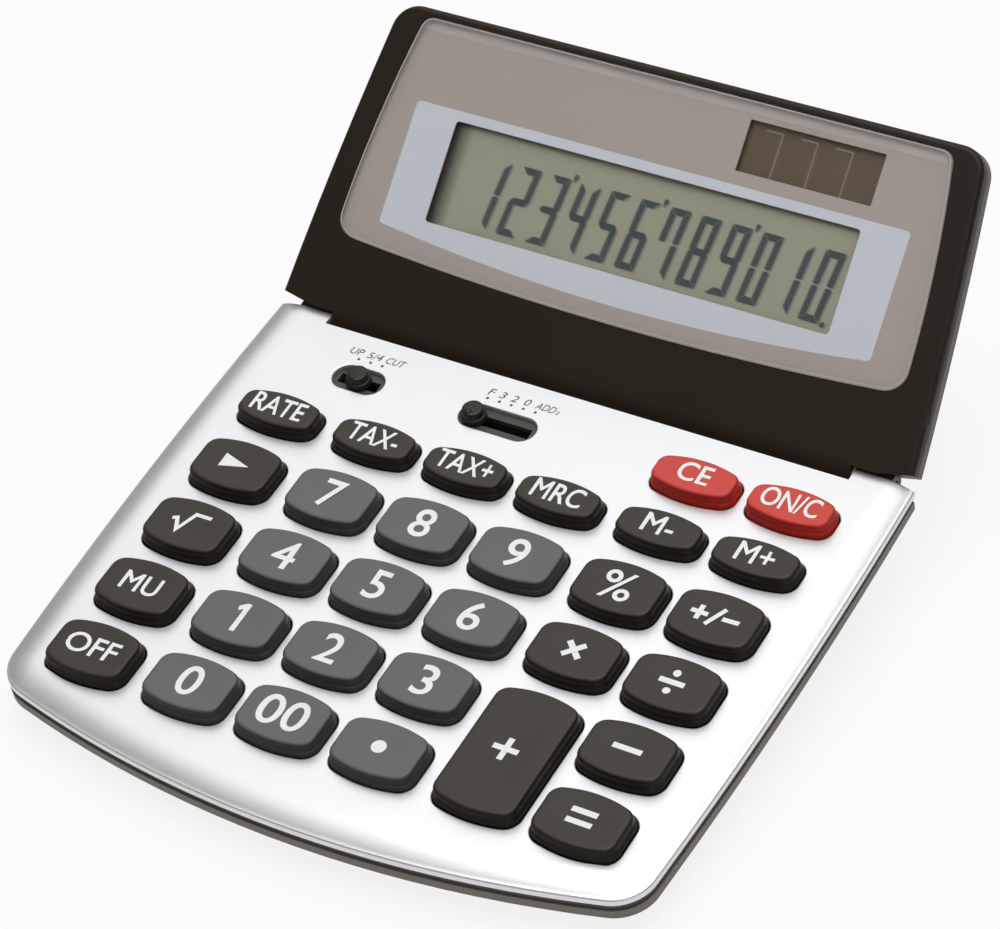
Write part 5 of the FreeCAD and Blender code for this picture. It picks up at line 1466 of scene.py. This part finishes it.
def stroke_line(skin: Skin, line: np.ndarray, width: float) -> None:
    """A bent stroke with mitred corners.

    Its two sides stand half its width from the line, along the mean of the neighbouring normals.

    Args:
        skin: where the stroke goes.
        line: flat points along its middle.
        width: its width.
    """
    steps = np.diff(line, axis=0)
    normals = np.stack([-steps[:, 1], steps[:, 0]], axis=1) / np.linalg.norm(steps, axis=1)[:, None]
    joints = np.vstack([normals[:1], normals[:-1] + normals[1:], normals[-1:]])
    lengths = np.concatenate([[1.0], (joints[1:-1] * normals[1:]).sum(axis=1), [1.0]])
    offset = joints / lengths[:, None] * width / 2
    skin.grid([at_height(line - offset, 0.0), at_height(line + offset, 0.0)], closed=False)


@dataclass(frozen=True)
class Switch:
    """A slide switch in millimetres: middle and length of its slot, and its knob's place.

    marks holds the places of its dots, and words each printed word with its middle and its width.
    """

    name: str
    middle: float
    length: float
    knob_x: float
    marks: tuple
    words: tuple


SLOT_ROW = -15.6
SLOT_WIDTH = 6.7
SLOT_CORNER = 3.3
SLOT_CORNER_STEPS = 10
ROUNDING_WORDS = (("UP", -50.5, 3.0), ("5/4", -46.0, 3.4), ("CUT", -41.1, 4.3))
DECIMAL_WORDS = (
    ("F", -17.75, 1.15), ("3", -15.05, 1.25), ("2", -12.2, 1.35), ("0", -9.3, 1.3), ("ADD", -4.95, 4.4)
)
SWITCHES = (
    Switch("rounding", -46.0, 11.9, -46.0, (-49.05, -46.15, -43.3), ROUNDING_WORDS),
    Switch("decimal", -12.5, 17.7, -18.1, (-17.85, -15.0, -12.2, -9.35, -6.5), DECIMAL_WORDS),
)


def slot_outline(switch: Switch, grow: float) -> np.ndarray:
    """The rounded slot of a switch.

    Args:
        switch: the switch.
        grow: how far the outline stands outside the slot.

    Returns:
        Closed anticlockwise points in the panel's frame.
    """
    half_x = switch.length / 2 + grow
    half_y = SLOT_WIDTH / 2 + grow
    radius = SLOT_CORNER + grow
    quarter = math.pi / 2
    parts = []
    for index, (sx, sy) in enumerate(((1, 1), (-1, 1), (-1, -1), (1, -1))):
        centre = (switch.middle + sx * (half_x - radius), SLOT_ROW + sy * (half_y - radius))
        parts.append(arc(centre, radius, index * quarter, (index + 1) * quarter, SLOT_CORNER_STEPS))
    return np.vstack(parts)


@dataclass(frozen=True)
class Cover:
    """The silver cover: a flat brushed field, a rolled edge all round, and rolled key openings.

    RIM is the radius of the openings' edges. LIP is the section under and round the lip, as (inset, height
    over the lip's underside), and ROUND the height of the tight round under the crown. ROUND_TURNS gives its
    first and last point in quarter turns, and their number.
    """

    sizes: PanelSizes
    keys: Sequence[Key]
    silver: bpy.types.Material

    RIM = 0.22
    RIM_RINGS = 4
    LIP = ((1.6, 0.0), (0.25, 0.0), (0.06, 0.1), (0.0, 0.3))
    ROUND = 0.5
    ROUND_TURNS = (0.2, 0.9, 5)
    CROWN_RINGS = 15

    def build(self) -> None:
        """Makes the cover in one piece."""
        sizes = self.sizes
        skin = Skin()
        outline = PanelOutline(sizes)
        rings = [at_height(outline.ring(inset, sizes.tab_y), z) for inset, z in self.profile()]
        skin.grid(rings, closed=False)
        field = outline.ring(sizes.crown_width, sizes.tab_y)
        notch = np.array([
            [sizes.notch_half_width, sizes.tab_y],
            [sizes.notch_half_width, sizes.notch_y],
            [-sizes.notch_half_width, sizes.notch_y],
            [-sizes.notch_half_width, sizes.tab_y],
        ])
        holes = [self.opening(key, self.RIM) for key in self.keys]
        holes += [slot_outline(switch, self.RIM) for switch in SWITCHES]
        skin.sheet(np.vstack([field, notch]), 0.0, holes)
        edge = np.vstack([field[-1:], notch, field[:1]])
        skin.grid([at_height(edge, -sizes.sheet), at_height(edge, 0.0)], closed=False)
        for key in self.keys:
            self.rim(skin, lambda grow, key=key: self.opening(key, grow))
        for switch in SWITCHES:
            self.rim(skin, lambda grow, switch=switch: slot_outline(switch, grow))
        self.tab_ends(skin, rings)
        skin.build("cover_shape", PANEL, self.silver, BASE_BODY, Slot.SILVER, ("faceplate",), smooth=40.0)

    def profile(self) -> list:
        """The edge's section from under the lip, up its face and over the crown.

        A tight round leads from the upright lip to the crown. With u running from 0 there to 1 at the flat
        field, the crown lies below the field by drop * (1 - u)^power.

        Returns:
            A list of (inset, level).
        """
        sizes = self.sizes
        start, drop = sizes.crown_start, sizes.crown_drop
        section = [(inset, sizes.lip + height) for inset, height in self.LIP]
        section.append((0.0, -drop - self.ROUND))
        for turn in np.linspace(*self.ROUND_TURNS):
            angle = turn * math.pi / 2
            section.append((start * (1 - math.cos(angle)), -drop - self.ROUND * (1 - math.sin(angle))))
        for u in np.linspace(0.0, 1.0, self.CROWN_RINGS):
            section.append((start + (sizes.crown_width - start) * u, -drop * (1 - u) ** sizes.crown_power))
        return section

    def opening(self, key: Key, grow: float) -> np.ndarray:
        """A key's opening in the panel's frame, made larger by a distance."""
        return key_outline(key.depth, KEY.skirt + KEY.gap + grow) + [key.x, key.y]

    def rim(self, skin: Skin, outline: Callable[[float], np.ndarray]) -> None:
        """Rolls the edge of an opening down through the sheet.

        Args:
            skin: where the edge goes.
            outline: gives the opening's outline, made larger by a distance.
        """
        rings = []
        for turn in np.linspace(0.0, math.pi / 2, self.RIM_RINGS):
            grow = self.RIM * (1 - math.sin(turn))
            rings.append(at_height(outline(grow), -self.RIM * (1 - math.cos(turn))))
        rings.append(at_height(outline(0.0), -self.sizes.sheet))
        skin.grid(rings, flip=True)

    def tab_ends(self, skin: Skin, rings: Sequence[np.ndarray]) -> None:
        """Closes the cover's wall where it ends at the hinge line.

        Args:
            skin: where the two ends go.
            rings: the wall's rings, from under the lip to the flat field.
        """
        for end, flip in ((0, False), (-1, True)):
            section = np.array([ring[end] for ring in rings])
            inner = section[-1].copy()
            inner[2] = self.sizes.lip
            skin.fan(np.vstack([section, inner]), flip=flip)


@dataclass(frozen=True)
class Knob:
    """A switch knob: a round foot, a round head with a soft edge, and a small nub near its rim.

    PROFILE is its section as (radius, level). The nub is a flattened ball.
    """

    switch: Switch
    material: bpy.types.Material

    PROFILE = (
        (2.75, -0.75), (2.75, 0.35), (2.6, 0.55), (2.35, 0.6), (2.3, 0.75), (2.3, 1.75), (2.2, 1.98),
        (2.0, 2.08), (1.2, 2.12),
    )
    STEPS, NUB_STEPS = 40, 20
    NUB_X, NUB_Y = -0.4, -1.2
    NUB_RADIUS, NUB_LEVEL, NUB_HEIGHT = 0.75, 2.02, 0.36
    NUB_TURN, NUB_RINGS = 1.4, 6

    def build(self) -> None:
        """Turns the profile about the knob's axis and adds the nub.

        The nub's ring at turn t has the radius radius * cos t and rises by height * sin t.
        """
        centre = (self.switch.knob_x, SLOT_ROW)
        last_angle = 2 * math.pi * (1 - 1 / self.STEPS)
        rings = []
        for radius, level in self.PROFILE:
            rings.append(at_height(arc(centre, radius, 0.0, last_angle, self.STEPS), level))
        skin = Skin().grid(rings).fan(rings[-1]).fan(rings[0], flip=True)
        nub = (centre[0] + self.NUB_X, centre[1] + self.NUB_Y)
        bumps = []
        for turn in np.linspace(0.0, self.NUB_TURN, self.NUB_RINGS):
            ring = arc(nub, self.NUB_RADIUS * math.cos(turn), 0.0, last_angle, self.NUB_STEPS)
            bumps.append(at_height(ring, self.NUB_LEVEL + self.NUB_HEIGHT * math.sin(turn)))
        skin.grid(bumps).fan(bumps[-1])
        node = self.switch.name + "_knob"
        body = self.switch.name + "_slider"
        skin.build(node + "_shape", PANEL, self.material, body, Slot.KNOB, (node,), smooth=50.0)


@dataclass(frozen=True)
class SwitchPrint:
    """The small slanted words and the dots beside the two switches, in millimetres.

    small_two is the low figure behind the last word: its middle, width and height.
    """

    dot_row: float = -10.35
    dot_radius: float = 0.34
    dot_steps: int = 12
    word_row: float = -8.45
    word_height: float = 1.85
    slant: float = 0.2
    small_two: tuple = (-2.1, -8.85, 0.75, 1.0)

    def build(self, material: bpy.types.Material) -> None:
        """Makes all words and dots in one piece.

        Args:
            material: the ink.
        """
        skin = Skin()
        for switch in SWITCHES:
            for x in switch.marks:
                skin.disc(x, self.dot_row, self.dot_radius, INK_LIFT, self.dot_steps)
            for label, x, wide in switch.words:
                self.write(skin, label, x, self.word_row, wide, self.word_height)
        self.write(skin, "2", *self.small_two)
        skin.build("switch_print", PANEL, material, BASE_BODY, Slot.SILVER)

    def write(self, skin: Skin, label: str, x: float, y: float, wide: float, high: float) -> None:
        """Adds a slanted word about a point."""
        flat, faces = word(label, wide, high, slant=self.slant)
        skin.add(at_height(flat + [x, y], INK_LIFT), faces)


# The display head

@dataclass(frozen=True)
class HeadSizes:
    """The window, its openings and the levels behind it in millimetres, as in the CAD model."""

    mask_top: float = 2.95
    glass_front: float = 1.75
    lens_top: float = 67.0
    lens_top_half: float = 61.5
    lens_low: float = 17.7
    lens_low_half: float = 66.6
    lens_side_radius: float = 267.0
    lens_low_radius: float = 777.0
    lens_low_corner: float = 5.0
    lens_top_corner: float = 3.0
    lens_underside: float = 2.99
    lens_front: float = 4.05
    lcd_half_width: float = 47.2
    lcd_half_height: float = 11.05
    lcd_y: float = 36.1
    solar_half_height: float = 5.45
    solar_y: float = 57.6


@dataclass(frozen=True)
class Digits:
    """The display's characters: first one's lower left corner, pitch, size and stroke in millimetres.

    gap is the bars' distance from each other, and slant the lean for each unit of height. The point stands
    behind the last character. The shadows lie to the lower right of the characters, the furthest first,
    and each layer lies over the one before.
    """

    left: float = -38.35
    low: float = 26.75
    pitch: float = 7.05
    width: float = 4.6
    height: float = 15.0
    stroke: float = 1.45
    gap: float = 0.1
    slant: float = 0.11
    point_x: float = 0.95
    point_y: float = 0.05
    point_radius: float = 0.58
    point_steps: int = 14
    shadow_reach: float = 0.46
    shadow_step: float = 0.2
    layer: float = 0.02


SEGMENTS = {
    "0": "abcdef", "1": "bc", "2": "abged", "3": "abgcd", "4": "fgbc",
    "5": "afgcd", "6": "afgedc", "7": "fabc", "8": "abcdefg", "9": "abcdfg",
}
SHOWN = "123456789010"
# Characters that a thousands mark follows, and the mark's outline in a character's own millimetres
APOSTROPHES = (2, 5, 8)
APOSTROPHE = ((5.15, 14.4), (5.75, 15.2), (5.9, 15.9), (5.45, 16.3), (4.95, 16.0), (4.95, 15.3))


def segment(name: str, sizes: Digits) -> np.ndarray:
    """One bar of a seven-bar character, with its ends cut at 45 degrees, before the slant.

    Args:
        name: a for the top bar, b and c down the right, d the bottom, e and f up the left, g the middle.
        sizes: the character's sizes.

    Returns:
        Its corners, anticlockwise.
    """
    wide, high, stroke, gap = sizes.width, sizes.height, sizes.stroke, sizes.gap
    half = high / 2
    if name in "ad":
        under = high - stroke
        points = np.array([[gap, high], [wide - gap, high], [wide - stroke, under], [stroke, under]])
        if name == "d":
            points[:, 1] = high - points[:, 1]
            points = points[::-1]
        return points[::-1]
    if name == "g":
        tip = stroke / 2
        return np.array([
            [gap * 2, half], [gap * 2 + tip, half - tip], [wide - gap * 2 - tip, half - tip],
            [wide - gap * 2, half], [wide - gap * 2 - tip, half + tip], [gap * 2 + tip, half + tip],
        ])
    foot = half + gap * 3
    points = np.array([
        [0.0, high - gap], [0.0, foot], [stroke / 2, half + gap], [stroke, foot],
        [stroke, high - stroke - gap],
    ])
    if name in "bc":
        points[:, 0] = wide - points[:, 0]
        points = points[::-1]
    if name in "ce":
        points[:, 1] = high - points[:, 1]
        points = points[::-1]
    return points


@dataclass(frozen=True)
class Display:
    """The characters on the glass, and their shadows on the reflector."""

    sizes: HeadSizes
    digits: Digits

    def characters(self, shift: float, layer: int) -> Skin:
        """All bars, apostrophes and the point.

        Args:
            shift: how far they are moved to the right, and half as far down.
            layer: how many layers they lie over the lowest.

        Returns:
            The skin that holds them.
        """
        digits = self.digits
        z = self.sizes.glass_front + digits.layer * (layer + 1)
        skin = Skin()
        for index, digit in enumerate(SHOWN):
            left = digits.left + index * digits.pitch
            for name in SEGMENTS[digit]:
                points = segment(name, digits)
                skin.add(self.lean(points, left, shift, z), [range(len(points))])
            if index in APOSTROPHES:
                mark = np.array(APOSTROPHE)
                skin.add(self.lean(mark, left, shift, z), [range(len(mark))])
        end = digits.left + (len(SHOWN) - 1) * digits.pitch
        place = (digits.width + digits.point_x, digits.point_y)
        last_angle = 2 * math.pi * (1 - 1 / digits.point_steps)
        point = arc(place, digits.point_radius, 0.0, last_angle, digits.point_steps)
        skin.add(self.lean(point, end, shift, z), [range(len(point))])
        return skin

    def lean(self, points: np.ndarray, left: float, shift: float, z: float) -> np.ndarray:
        """Slants a character's points and moves them to their place.

        Args:
            points: flat points about the character's lower left corner.
            left: where that corner stands.
            shift: how far they are moved to the right, and half as far down.
            z: their level.

        Returns:
            The points on the glass.
        """
        digits = self.digits
        x = points[:, 0] + points[:, 1] * digits.slant + left + shift
        y = points[:, 1] + digits.low - shift / 2
        return at_height(np.stack([x, y], axis=1), z)

    def build(self, ink: bpy.types.Material, shades: Sequence[bpy.types.Material]) -> None:
        """Lays the shadows and the characters on the glass.

        Args:
            ink: the characters' material.
            shades: the shadows' materials, the furthest shadow first.
        """
        digits = self.digits
        for step, shade in enumerate(shades):
            skin = self.characters(digits.shadow_reach - digits.shadow_step * step, step)
            skin.build(f"digit_shadow_{step}", HEAD, shade, HEAD_BODY, Slot.LCD)
        self.characters(0.0, len(shades)).build("digits", HEAD, ink, HEAD_BODY, Slot.LCD)


def lens_outline(sizes: HeadSizes, inset: float) -> np.ndarray:
    """The window's outline.

    The two sides and the lower edge are arcs, the upper edge is straight, and the corners are rounded.

    Args:
        sizes: the head's sizes.
        inset: how far the outline is set in.

    Returns:
        Closed anticlockwise points.
    """
    low_steps, side_steps = 20, 9
    low = np.array([sizes.lens_low_half - inset, sizes.lens_low + inset])
    top = np.array([sizes.lens_top_half - inset, sizes.lens_top - inset])
    bottom = bowed(low * [-1, 1], low, sizes.lens_low_radius - inset, low_steps)
    right = bowed(low, top, sizes.lens_side_radius - inset, side_steps)
    left = bowed(top * [-1, 1], low * [-1, 1], sizes.lens_side_radius - inset, side_steps)
    outline = np.vstack([bottom[:-1], right, left[:-1]])
    right_top = low_steps + side_steps - 2
    radii = np.zeros(len(outline))
    radii[[0, low_steps - 1]] = sizes.lens_low_corner - inset
    radii[[right_top, right_top + 1]] = sizes.lens_top_corner - inset
    return rounded(outline, radii)


def bow_centre(start: np.ndarray, end: np.ndarray, radius: float) -> np.ndarray:
    """The centre of a shallow anticlockwise arc.

    It stands on the left of the chord's middle, at the distance sqrt(radius^2 - (chord / 2)^2).

    Args:
        start: the arc's first point.
        end: its last point.
        radius: its radius.

    Returns:
        The centre.
    """
    chord = end - start
    half = np.linalg.norm(chord) / 2
    side = np.array([-chord[1], chord[0]]) / (2 * half)
    return (start + end) / 2 + side * math.sqrt(radius**2 - half**2)


def bowed(start: np.ndarray, end: np.ndarray, radius: float, steps: int) -> np.ndarray:
    """A shallow anticlockwise arc from one point to another.

    Args:
        start: its first point.
        end: its last point.
        radius: its radius.
        steps: number of points.

    Returns:
        The arc's points, both ends included.
    """
    centre = bow_centre(start, end, radius)
    first = math.atan2(*(start - centre)[::-1])
    last = math.atan2(*(end - centre)[::-1])
    if last < first:
        last += 2 * math.pi
    return arc(centre, radius, first, last, steps)


def rounded(outline: np.ndarray, radii: Sequence[float], steps: int = 8) -> np.ndarray:
    """Rounds a coarse outline's corners with arcs tangent to both neighbours.

    With a the angle between a corner's edges, the arc's centre stands on their bisector, at the distance
    radius / sin(a / 2), and the arc begins at radius / tan(a / 2) along each edge.

    Args:
        outline: corners in anticlockwise order.
        radii: one radius to a corner, or 0 for a sharp one.
        steps: points to an arc.

    Returns:
        The rounded outline.
    """
    straight = math.pi / 2 - 1e-3
    count = len(outline)
    parts = []
    for index, radius in enumerate(radii):
        here = outline[index]
        before = outline[index - 1] - here
        after = outline[(index + 1) % count] - here
        before = before / np.linalg.norm(before)
        after = after / np.linalg.norm(after)
        half = math.acos(float(np.clip(before @ after, -1, 1))) / 2
        if radius <= 0 or half > straight:
            parts.append(here[None, :])
            continue
        middle = before + after
        centre = here + middle / np.linalg.norm(middle) * radius / math.sin(half)
        first = here + before * radius / math.tan(half) - centre
        start = math.atan2(first[1], first[0])
        parts.append(arc(centre, radius, start, start + math.pi - 2 * half, steps))
    return np.vstack(parts)


@dataclass(frozen=True)
class Window:
    """The clear window: its plate, a painted highlight along its bevel and a painted reflection along its top.

    All sizes are in millimetres. PLAY and BEVEL are the insets of the plate's wall and front, LINE those of
    the painted highlight's two edges, and BAND is the painted reflection's width.
    """

    sizes: HeadSizes

    PLAY = 0.05
    BEVEL = 0.3
    LINE = (0.32, 0.6)
    LINE_LIFT = 0.01
    BAND = 2.7
    BAND_LIFT = 0.015

    def plate(self, material: bpy.types.Material) -> None:
        """A clear plate with a small bevel round its front.

        Args:
            material: the clear acrylic.
        """
        sizes = self.sizes
        outer = lens_outline(sizes, self.PLAY)
        inner = lens_outline(sizes, self.BEVEL)
        skin = Skin().grid([
            at_height(outer, sizes.lens_underside),
            at_height(outer, sizes.lens_front - self.BEVEL),
            at_height(inner, sizes.lens_front),
        ])
        skin.sheet(inner, sizes.lens_front)
        flat, faces = filled([outer])
        skin.add(at_height(flat, sizes.lens_underside), faces[:, ::-1])
        skin.build("window_plate", HEAD, material, HEAD_BODY, Slot.WINDOW, ("display_lens",), smooth=20.0)

    def edge(self, line: bpy.types.Material, band: bpy.types.Material) -> None:
        """The bevel's painted highlight, and a painted reflection on the print behind the upper edge.

        Args:
            line: the painted highlight's material.
            band: the painted reflection's material.
        """
        sizes = self.sizes
        outer, inner = (lens_outline(sizes, inset) for inset in self.LINE)
        # Painted highlight: a pale ring just inside the window's outline.
        ring = Skin().sheet(outer, sizes.lens_front + self.LINE_LIFT, [inner])
        ring.build("window_bevel_highlight", HEAD, line, HEAD_BODY, Slot.WINDOW)
        # Painted reflection: a pale strip along the window's top, laid on the print.
        low = sizes.lens_top - self.BAND
        right = outer[outer[:, 0] > 0]
        end = float(np.interp(low, right[:, 1], right[:, 0]))
        strip = np.vstack([[end, low], outer[outer[:, 1] > low], [-end, low]])
        sheet = Skin().sheet(strip, sizes.mask_top + self.BAND_LIFT)
        sheet.build("window_top_reflection", HEAD, band, HEAD_BODY, Slot.PRINT)


@dataclass(frozen=True)
class WindowPrint:
    """What is printed behind the window: the pale surround of the display.

    All sizes are in millimetres in the head's frame. The lower edge is an arc from one side to the other.
    """

    sizes: HeadSizes

    TOP = 49.3
    SIDE = 57.5
    LOW_SIDE = 22.3
    LOW_MIDDLE = 18.7
    LOW_STEPS = 30
    CORNER = 0.9
    LIFT = 0.02

    def surround(self, material: bpy.types.Material) -> None:
        """The pale frame with a lower edge that hangs in the middle.

        Args:
            material: the pale ink.
        """
        sag = self.LOW_SIDE - self.LOW_MIDDLE
        radius = (self.SIDE**2 + sag**2) / (2 * sag)
        ends = np.array([[-self.SIDE, self.LOW_SIDE], [self.SIDE, self.LOW_SIDE]])
        low = bowed(ends[0], ends[1], radius, self.LOW_STEPS)
        outline = np.vstack([low, [[self.SIDE, self.TOP], [-self.SIDE, self.TOP]]])
        radii = [self.CORNER, *[0.0] * (len(low) - 2), *[self.CORNER] * 3]
        sizes = self.sizes
        half = np.array([sizes.lcd_half_width, sizes.lcd_half_height])
        corners = np.array([[-1, -1], [1, -1], [1, 1], [-1, 1]]) * half + [0.0, sizes.lcd_y]
        hole = rounded(corners, [self.CORNER] * 4)
        skin = Skin().sheet(rounded(outline, radii), sizes.mask_top + self.LIFT, [hole])
        skin.build("display_surround", HEAD, material, HEAD_BODY, Slot.PRINT)


@dataclass(frozen=True)
class SolarCell:
    """The lines that divide the solar cell's field into four sections, in millimetres.

    Each line runs from above the field's middle to below its lower edge. Its arm goes to the left from
    just under its top.
    """

    sizes: HeadSizes

    LINES = (24.2, 32.1, 40.0)
    ABOVE_MIDDLE, BELOW_EDGE = 4.3, 0.3
    STROKE = 0.24
    ARM_LEFT, ARM_DOWN, ARM_LENGTH, ARM_STROKE = 1.95, 0.1, 3.6, 0.28

    def build(self, line: bpy.types.Material) -> None:
        """Lays the dividing lines on the cell.

        Args:
            line: their material.
        """
        sizes = self.sizes
        skin = Skin()
        z = sizes.glass_front + INK_LIFT
        top = sizes.solar_y + self.ABOVE_MIDDLE
        low = sizes.solar_y - sizes.solar_half_height - self.BELOW_EDGE
        for x in self.LINES:
            skin.bar(x, (top + low) / 2, self.STROKE, top - low, z)
            skin.bar(x - self.ARM_LEFT, top - self.ARM_DOWN, self.ARM_LENGTH, self.ARM_STROKE, z)
        skin.build("solar_lines", HEAD, line, HEAD_BODY, Slot.SOLAR)


# The whole

class Calculator:
    """Dresses every visible piece of the frame."""

    def __init__(self) -> None:
        """Makes a material for each of the record's slots."""
        library = Library()
        self.library = library
        self.head_sizes = HeadSizes()
        self.finishes = {finish.slot: library.plain(finish) for finish in FINISHES}
        self.finishes.update({finish.slot: library.metal(finish) for finish in METALS})
        self.finishes.update({finish.slot: library.stripes(finish) for finish in STRIPED})
        self.finishes.update({
            Slot.WINDOW: library.window(Acrylic()),
            Slot.LCD: library.lcd(Reflector(), self.head_sizes),
            Slot.SOLAR: library.ink(SOLAR_FIELD),
            Slot.BOARD: library.board(SolderMask()),
        })

    def build(self) -> None:
        """Makes all pieces."""
        plan = key_plan()
        library = self.library
        Cover(PanelSizes(), plan, self.finishes[Slot.SILVER]).build()
        Keypad(plan, self.finishes, library.ink(LEGEND_INK)).build()
        for switch in SWITCHES:
            Knob(switch, self.finishes[Slot.KNOB]).build()
        SwitchPrint().build(library.ink(SWITCH_INK))
        self.head()
        self.rest()

    def head(self) -> None:
        """Makes the display's own pieces."""
        sizes = self.head_sizes
        library = self.library
        window = Window(sizes)
        window.plate(self.finishes[Slot.WINDOW])
        window.edge(library.ink(BEVEL_HIGHLIGHT_INK), library.ink(TOP_REFLECTION_INK))
        WindowPrint(sizes).surround(library.ink(SURROUND_INK))
        shades = [library.ink(shade) for shade in DIGIT_SHADES]
        Display(sizes, Digits()).build(library.ink(DIGIT_INK), shades)
        SolarCell(sizes).build(library.ink(SOLAR_LINE))

    def rest(self) -> None:
        """Gives every other node its own finish, on a copy of its surface."""
        slots = {part["node"]: Slot(part["material_slot"]) for part in frame["record"]["subparts"]}
        bodies = frame["record"]["behaviour"]["bodies"]
        for body, nodes in bodies.items():
            for node in nodes:
                if frame["nodes"][node].hide_render:
                    continue
                smooth = 0.0 if slots[node] in FLAT else SMOOTH_WITHIN
                skin_of_node(node, body, self.finishes[slots[node]], smooth)


# Studio

@dataclass(frozen=True)
class CameraPose:
    """The photograph's viewpoint in the panel's frame: place in millimetres, and the image's axes."""

    place: tuple = (363.7336, -494.4732, 600.6889)
    right: tuple = (0.85931, 0.48995, -0.14674)
    down: tuple = (0.26633, -0.67361, -0.68943)
    forward: tuple = (-0.43663, 0.55335, -0.70933)
    lens: float = 151.29
    sensor: float = 36.0


@dataclass(frozen=True)
class Lamp:
    """A soft area lamp: where it stands, where it looks, its size in metres and its power."""

    name: str
    place: tuple
    target: tuple
    size: float
    power: float
    color: tuple = (1.0, 1.0, 1.0)


AIM = (0.0, 0.0, 0.03)
LAMPS = (
    Lamp("soft_box", (-0.28, 0.74, 1.15), AIM, 1.56, 8.1, (0.985, 0.99, 1.0)),
    Lamp("top_light", (0.08, 0.0, 1.3), AIM, 0.9, 7.7),
    Lamp("fill_light", (0.95, -0.95, 0.8), AIM, 0.8, 1.2),
)


class Studio:
    """Camera, lamps, world and floor.

    The room's light goes from ROOM_LOW at the horizon to ROOM_HIGH at the height ROOM_RISE. FLOOR_SEEN is
    the share of plain white in the floor where it is seen, which leaves the rest for its shadow.
    """

    ROOM_LOW = (0.050, 0.045, 0.036)
    ROOM_HIGH = (0.32, 0.315, 0.295)
    ROOM_RISE = 0.9
    FLOOR_HALF = 3.0
    FLOOR_COLOR = (0.9, 0.9, 0.9, 1.0)
    FLOOR_ROUGHNESS = 0.9
    FLOOR_SEEN = 0.85
    WHITE = (1.0, 1.0, 1.0, 1.0)

    def camera(self, pose: CameraPose) -> None:
        """Places the camera where the photograph was taken from.

        Args:
            pose: the viewpoint in the panel's frame.
        """
        image_axes = np.array([pose.right, pose.down, pose.forward]) * [[1], [-1], [-1]]
        axes = PANEL.rotation() @ image_axes.T
        matrix = Matrix.Identity(4)
        for row in range(3):
            for column in range(3):
                matrix[row][column] = axes[row, column]
        matrix.translation = Vector(PANEL.points(np.array([pose.place]))[0])
        data = bpy.data.cameras.new("camera")
        data.lens = pose.lens
        data.sensor_width = pose.sensor
        data.sensor_fit = "HORIZONTAL"
        data.clip_start = 0.01
        camera = bpy.data.objects.new("camera", data)
        camera.matrix_world = matrix
        bpy.context.scene.collection.objects.link(camera)
        bpy.context.scene.camera = camera

    def lamps(self) -> None:
        """Hangs the lamps."""
        for lamp in LAMPS:
            data = bpy.data.lights.new(lamp.name, "AREA")
            data.energy = lamp.power
            data.size = lamp.size
            data.color = lamp.color
            holder = bpy.data.objects.new(lamp.name, data)
            holder.location = lamp.place
            aim = Vector(lamp.target) - Vector(lamp.place)
            holder.rotation_euler = aim.to_track_quat("-Z", "Y").to_euler()
            bpy.context.scene.collection.objects.link(holder)

    def world(self) -> None:
        """A room that is white where it is seen directly, and otherwise dim near the horizon."""
        world = bpy.data.worlds.new("room")
        bpy.context.scene.world = world
        world.use_nodes = True
        tree = Tree(world.node_tree)
        path = tree.node("LightPath")
        seen = tree.math("MAXIMUM", path.outputs["Is Camera Ray"], path.outputs["Is Transmission Ray"])
        height = tree.node("SeparateXYZ", Vector=tree.node("TexCoord").outputs["Generated"]).outputs["Z"]
        room = tree.mix(tree.ramp(height, 0.0, self.ROOM_RISE), self.ROOM_LOW, self.ROOM_HIGH)
        background = world.node_tree.nodes["Background"]
        tree.feed(background.inputs["Color"], tree.mix(seen, room, self.WHITE))

    def floor(self) -> None:
        """A wide white floor that keeps a soft shadow."""
        mesh = bpy.data.meshes.new("floor")
        corners = np.array([[-1, -1, 0], [1, -1, 0], [1, 1, 0], [-1, 1, 0]]) * self.FLOOR_HALF
        mesh.from_pydata(corners.tolist(), [], [(0, 1, 2, 3)])
        floor = bpy.data.objects.new("floor", mesh)
        bpy.context.scene.collection.objects.link(floor)
        material = bpy.data.materials.new("floor")
        material.use_nodes = True
        tree = Tree(material.node_tree)
        shader = material.node_tree.nodes["Principled BSDF"]
        shader.inputs["Base Color"].default_value = self.FLOOR_COLOR
        shader.inputs["Roughness"].default_value = self.FLOOR_ROUGHNESS
        glow = tree.node("Emission", Color=self.WHITE, Strength=1.0)
        path = tree.node("LightPath")
        seen = tree.math("MAXIMUM", path.outputs["Is Camera Ray"], path.outputs["Is Glossy Ray"])
        blend = tree.node("MixShader")
        tree.feed(blend.inputs[0], tree.math("MULTIPLY", seen, self.FLOOR_SEEN))
        tree.feed(blend.inputs[1], shader.outputs[0])
        tree.feed(blend.inputs[2], glow.outputs[0])
        tree.feed(material.node_tree.nodes["Material Output"].inputs["Surface"], blend.outputs[0])
        mesh.materials.append(material)

    def build(self) -> None:
        """Sets up the studio."""
        self.camera(CameraPose())
        self.lamps()
        self.world()
        self.floor()
        bpy.context.scene.view_settings.view_transform = "Standard"


def main() -> None:
    """Builds the looks and the studio."""
    logging.basicConfig(level=logging.INFO)
    Calculator().build()
    Studio().build()


if __name__ == "__main__":
    main()
